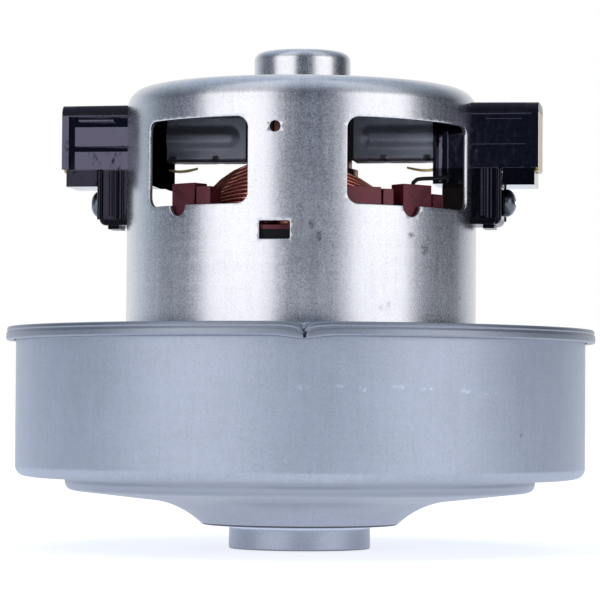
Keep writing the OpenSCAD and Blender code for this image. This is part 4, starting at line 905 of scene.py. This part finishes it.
# From loop to loop, as shares of the pitch: narrower, less far out, higher on top, lower below
SPAN_STEP, REACH_STEP, RISE_STEP, DROP_STEP = 0.42, 0.6, 0.87, 0.8
# Layers behind the outer one: shift in loops, depth
INNER_LAYERS = ((0.45, 0.72), (0.1, 1.4), (0.5, 2.05))
INNER_WOBBLE = 0.04


def loop_point(k, a, upper):
    """Place on end turn k at an angle from 0 to 180 degrees."""
    a = math.radians(a if upper else 180 - a)
    span = COIL_SPAN / 2 - k * WIRE_PITCH * SPAN_STEP
    side = COIL_SPAN / 4 - k * WIRE_PITCH
    reach = COIL_REACH - k * WIRE_PITCH * REACH_STEP
    if upper:
        level, crown = STACK_TOP_Z, STACK_TOP_Z + COIL_RISE - (LOOPS - 1 - k) * WIRE_PITCH * RISE_STEP
    else:
        level, crown = STACK_Z, STACK_Z - KEEL_DROP - k * WIRE_PITCH * DROP_STEP
    bow = math.sin(a)
    return Vector((-span * math.cos(a), -side - (reach - side) * bow ** 2, level + (crown - level) * bow))


def layer_path(first, depth, wobble):
    """One layer of wire: loops that climb from the longest to the shortest, set back by a depth."""
    path = []
    steps = 18
    for k in range(LOOPS):
        for upper in (True, False):
            if not upper and k == LOOPS - 1:
                break
            for i in range(steps + 1):
                a = 180 * i / steps
                kk = k + first + (0 if upper else i / steps)
                p = loop_point(kk, a, upper)
                ahead = loop_point(kk, a + 1, upper) - loop_point(kk, a - 1, upper)
                next_loop = loop_point(kk + 1, a, upper) - p
                back = ahead.cross(next_loop).normalized()
                path.append(p - back * depth + Vector(dice.uniform(-wobble, wobble) for _ in range(3)))
    return path


for end in ("front", "rear"):
    layers = [tube(layer_path(0.0, 0.0, 0.0), WIRE_D, 10)]
    for first, depth in INNER_LAYERS:
        layers.append(tube(layer_path(first, depth, INNER_WOBBLE), WIRE_D, 8))
    shape = joined(*layers)
    piece("coil_wire_" + end, half_turn(shape) if end == "rear" else shape, "copper_wire",
          ["field_coil_" + end, "field_coil_core_" + end], sharp=60)


# Armature winding: a coil of wires between each pair of slots, over both ends of the core
SLOTS, COIL_STEP = 11, 5
ARMATURE_WIRE = 0.75
COIL_WIRES = 8
# A coil's two sides: radius, step to the second layer. Its rows of wires: degrees between them
GO_R, GO_STEP = 13.4, 0.8
BACK_R, BACK_STEP = 11.5, 0.7
ROW_TURN = 3.2
# End turns: least radius and its growth, how far they bow in, swell and lean out of the slot, and rise
SHAFT_GAP_R, SHAFT_GAP_STEP = 6.4, 2.2
BOW_IN, SWELL_OUT, LEAN_OUT = 0.55, 2.0, 1.12
RISE_LEAST, RISE_MORE = 0.30, 0.62
# Packed wires under the end turns: radius, share of the height
HEAP = ((6.0, 0.0), (14.6, 0.0), (15.2, 0.35), (13.0, 0.62), (7.5, 0.72), (6.0, 0.6))
WIND_LOW, WIND_HIGH = low("armature_winding").z, high("armature_winding").z
WIND_R = high("armature_winding").x
CORE_LOW, CORE_HIGH = low("armature_core").z - 1.2, high("armature_core").z + 1.2


def end_turn(start, finish, r_start, r_finish, level, tip, share, steps=16):
    """From one slot to another over the end of the core, passing beside the shaft."""
    path = []
    for i in range(steps + 1):
        t = i / steps
        bow = math.sin(math.pi * t)
        r = r_start + (r_finish - r_start) * t
        r = r * (1 - BOW_IN * bow) + SWELL_OUT * bow * math.sin(3 * math.pi * t) ** 2
        r = max(SHAFT_GAP_R + SHAFT_GAP_STEP * share, r)
        if i in (1, steps - 1):
            r = min(r * LEAN_OUT, WIND_R - ARMATURE_WIRE)
        rise = (RISE_LEAST + RISE_MORE * share) * bow ** 0.5
        path.append(around(r, start + (finish - start) * t, level + (tip - level) * rise))
    return path


def armature_coil(k, wire):
    """One closed turn of coil k."""
    step = 360 / SLOTS
    go, back = k * step, (k + COIL_STEP) * step
    layer, row = wire % 2, wire // 2
    r_go, r_back = GO_R - GO_STEP * layer, BACK_R - BACK_STEP * layer
    spread = (row - 1.5) * ROW_TURN
    share = ((k * 4) % SLOTS + wire / COIL_WIRES) / SLOTS
    up = end_turn(go + spread, back - spread, r_go, r_back, CORE_HIGH, WIND_HIGH - ARMATURE_WIRE / 2, share)
    down = end_turn(back - spread, go + spread, r_back, r_go, CORE_LOW, WIND_LOW + ARMATURE_WIRE / 2, share)
    return tube(up + down, ARMATURE_WIRE, 6, closed=True)


def heap(level, tip):
    """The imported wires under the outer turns."""
    return revolve([(r, level + (tip - level) * share) for r, share in HEAP], even_turn(88))


coils = [armature_coil(k, wire) for k in range(SLOTS) for wire in range(COIL_WIRES)]
piece("armature_wires", joined(heap(CORE_HIGH, WIND_HIGH), heap(CORE_LOW, WIND_LOW), *coils), "copper_wire",
      ["armature_winding"], body="rotor", sharp=60)


# Brush springs, their coils closer at the ends
SPRING_R, SPRING_D = 2.4, 0.6
CURLS, CURL_STEPS = 7, 28
END_PULL = 0.035


def spring(side):
    """The coil behind a brush."""
    start, end = high("carbon_brush_right").x + SPRING_D / 2, TUBE_END - SPRING_D / 2
    steps = CURLS * CURL_STEPS
    path = []
    for i in range(steps + 1):
        share = i / steps
        along = share - END_PULL * math.sin(math.tau * share)
        a = math.tau * CURLS * share
        x = start + (end - start) * along
        path.append((x, SPRING_R * math.cos(a), BRUSH_Z + SPRING_R * math.sin(a)))
    shape = tube(path, SPRING_D, 10)
    obj = piece("spring_wire_" + side, turned(shape, side), "spring_steel",
                ["brush_spring_" + side], sharp=60)
    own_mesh(obj)


for side in ("left", "right"):
    spring(side)


# Lead wires
def curve_through(points, steps=8):
    """Smooth line through points."""
    ends = [points[0]] + points + [points[-1]]
    line = []
    for a, b, c, d in zip(ends, ends[1:], ends[2:], ends[3:]):
        a, b, c, d = (Vector(p) for p in (a, b, c, d))
        for i in range(steps):
            t = i / steps
            square, cube = (2 * a - 5 * b + 4 * c - d) * t * t, (3 * b - a - 3 * c + d) * t ** 3
            line.append(0.5 * (2 * b + (c - a) * t + square + cube))
    return line + [Vector(points[-1])]


POCKET_TOP_Z = high("coil_former_front").z
LEAD_R, LEAD_D = CAN_R - 3.5, 0.9
# Short link between two pockets: angle, depth under their top
LINK = ((40.1, 3.4), (41.6, 3.9), (43.2, 4.6))
# Lead up to the holder's neck: where it starts, how far round and up it goes, shares of both, and its end
LEAD_FROM, LEAD_TURN, LEAD_RISE = 50.6, 18, 2.4
LEAD_SHARES = ((0, -1.3), (0, 0), (0.06, 0.4), (0.22, 0.65), (1, 1))
LEAD_END = [(NECK_X + 4, -NECK_W - gap, NECK_LOW_Z + 2.1) for gap in (2.05, 0.05)]
link = [around(LEAD_R, angle, POCKET_TOP_Z - depth) for angle, depth in LINK]
lead = [around(LEAD_R, LEAD_FROM + LEAD_TURN * u, POCKET_TOP_Z + LEAD_RISE * v) for u, v in LEAD_SHARES]
lead += LEAD_END
leads = joined(*(tube(curve_through(line), LEAD_D, 12) for line in (link, lead)))
piece("lead_wires", joined(leads, half_turn(leads)), "lead_cover", ["field_leads"], sharp=60)


# Camera
CAMERA_TURN = 8.5
CAMERA_FAR = 677 * MM
CAMERA_HIGH = 32.2 * MM
AIM_HIGH = 57 * MM
CAMERA_ROLL = 0.38
CAMERA_LENS, CAMERA_SENSOR, CAMERA_SHIFT = 176.4, 36, -0.0017
camera = bpy.data.objects.new("camera", bpy.data.cameras.new("camera"))
bpy.context.collection.objects.link(camera)
turn = math.radians(CAMERA_TURN)
camera.location = (CAMERA_FAR * math.sin(turn), -CAMERA_FAR * math.cos(turn), CAMERA_HIGH)
aim = Vector((0, 0, AIM_HIGH)) - camera.location
roll = Matrix.Rotation(math.radians(CAMERA_ROLL), 4, "Z").to_quaternion()
camera.rotation_euler = (aim.to_track_quat("-Z", "Y") @ roll).to_euler()
camera.data.lens = CAMERA_LENS
camera.data.sensor_width = CAMERA_SENSOR
camera.data.shift_x = CAMERA_SHIFT
bpy.context.scene.camera = camera


# Studio light and floor: levels of the room by the angle from the camera's side, to the right, and by height
BLUE, COOL, NEUTRAL = (0.45, 0.62, 1.0), (0.72, 0.84, 1.0), (1.0, 0.995, 1.0)
ROOM_LEVEL = 1.8
ROOM_SIDES = [(-180, 0.66, NEUTRAL), (-158, 0.62, COOL), (-125, 0.36, COOL), (-100, 0.12, COOL),
              (-76, 0.085, BLUE), (-60, 0.95, NEUTRAL), (-19, 1.0, NEUTRAL), (-15, 0.055, BLUE),
              (-2, 0.06, BLUE), (20, 0.08, BLUE), (38, 0.98, NEUTRAL), (69, 1.0, NEUTRAL), (84, 0.10, COOL),
              (98, 0.03, COOL), (118, 0.04, COOL), (142, 0.24, COOL), (160, 0.56, COOL), (180, 0.66, NEUTRAL)]
LEFT_REACH = [(-60, 0.4), (-25, 1.0), (9, 1.0), (22, 0.42), (60, 0.28), (85, 0.2)]
RIGHT_REACH = [(-50, 0.1), (-14, 0.45), (-3, 0.95), (11, 1.0), (24, 0.3), (60, 0.2), (85, 0.2)]
ROOM_ROOF = [(-60, 0.0), (10, 0.0), (30, 0.14), (50, 0.30), (70, 0.38), (90, 0.36)]
BACKDROP_EDGE, BACKDROP_FULL = 0.5, 0.95
FLOOR_LIFT = 0.62


def build_world():
    """A white backdrop, for the camera and mirrored behind the object; a room with two tall soft boxes."""
    world = bpy.data.worlds.new("studio")
    bpy.context.scene.world = world
    world.use_nodes = True
    world.node_tree.nodes.clear()
    w = Nodes(world.node_tree)

    def ramp(value, stops):
        n = w.node("ValToRGB", {0: value}).node
        n.color_ramp.interpolation = "EASE"
        for k, (at, level, tint) in enumerate(stops):
            e = n.color_ramp.elements[k] if k < 2 else n.color_ramp.elements.new(at)
            e.position = at
            e.color = (level * tint[0], level * tint[1], level * tint[2], 1)
        return n.outputs[0]

    def by_height(stops, tint):
        return ramp(height, [((math.sin(math.radians(e)) + 1) / 2, level, tint) for e, level in stops])

    every_way = w.node("TexCoord", out="Generated")
    x, y, z = w.axes(w.node("VectorRotate", {"Vector": every_way, "Angle": -math.radians(CAMERA_TURN)},
                            rotation_type="Z_AXIS"))
    turn = w.math("ARCTAN2", x, w.math("MULTIPLY", y, -1.0))
    share = w.span(turn, -math.pi, math.pi, 0.0, 1.0)
    sides = ramp(share, [((a + 180) / 360, level, tint) for a, level, tint in ROOM_SIDES])
    height = w.span(z, -1.0, 1.0, 0.0, 1.0)
    on_right = w.span(x, -0.1, 0.1, 0.0, 1.0)
    reach = w.mix(on_right, by_height(LEFT_REACH, NEUTRAL), by_height(RIGHT_REACH, NEUTRAL))
    lit = w.mix(1.0, w.mix(1.0, sides, reach, "MULTIPLY"), by_height(ROOM_ROOF, COOL), "ADD")
    room = w.node("Background", {0: lit, 1: ROOM_LEVEL})
    white = w.node("Background", {0: (1, 1, 1, 1), 1: 1.0})
    path = w.node("LightPath").node.outputs
    mirrored = w.math("MAXIMUM", path["Is Glossy Ray"], path["Is Transmission Ray"])
    behind = w.span(y, BACKDROP_EDGE, BACKDROP_FULL, 0.0, 1.0)
    seen = w.math("MAXIMUM", path["Is Camera Ray"], w.math("MULTIPLY", mirrored, behind))
    output = w.tree.nodes.new("ShaderNodeOutputWorld")
    w.put(output.inputs["Surface"], w.node("MixShader", {0: seen, 1: room, 2: white}))


build_world()


def build_floor():
    """White sheet under the object, with its shadow on it; clear when it is looked at from below."""
    bpy.ops.mesh.primitive_plane_add(size=6)
    floor = bpy.context.object
    floor.name = "floor"
    s = Shader("floor_white")
    path = s.node("LightPath").node.outputs
    mirrored = s.math("MAXIMUM", path["Is Glossy Ray"], path["Is Transmission Ray"])
    seen = s.math("MAXIMUM", path["Is Camera Ray"], mirrored)
    s.set(Base_Color=(0.86, 0.87, 0.90, 1), Roughness=0.9, Specular_IOR_Level=0.0,
          Emission_Color=(1, 1, 1, 1), Emission_Strength=s.math("MULTIPLY", seen, FLOOR_LIFT))
    from_below = s.node("NewGeometry", out="Backfacing")
    sheet = s.node("MixShader", {0: from_below, 1: s.bsdf.outputs[0], 2: s.node("BsdfTransparent")})
    s.put(s.tree.nodes["Material Output"].inputs["Surface"], sheet)
    floor.data.materials.append(s.material)


build_floor()
bpy.context.scene.view_settings.view_transform = "Standard"
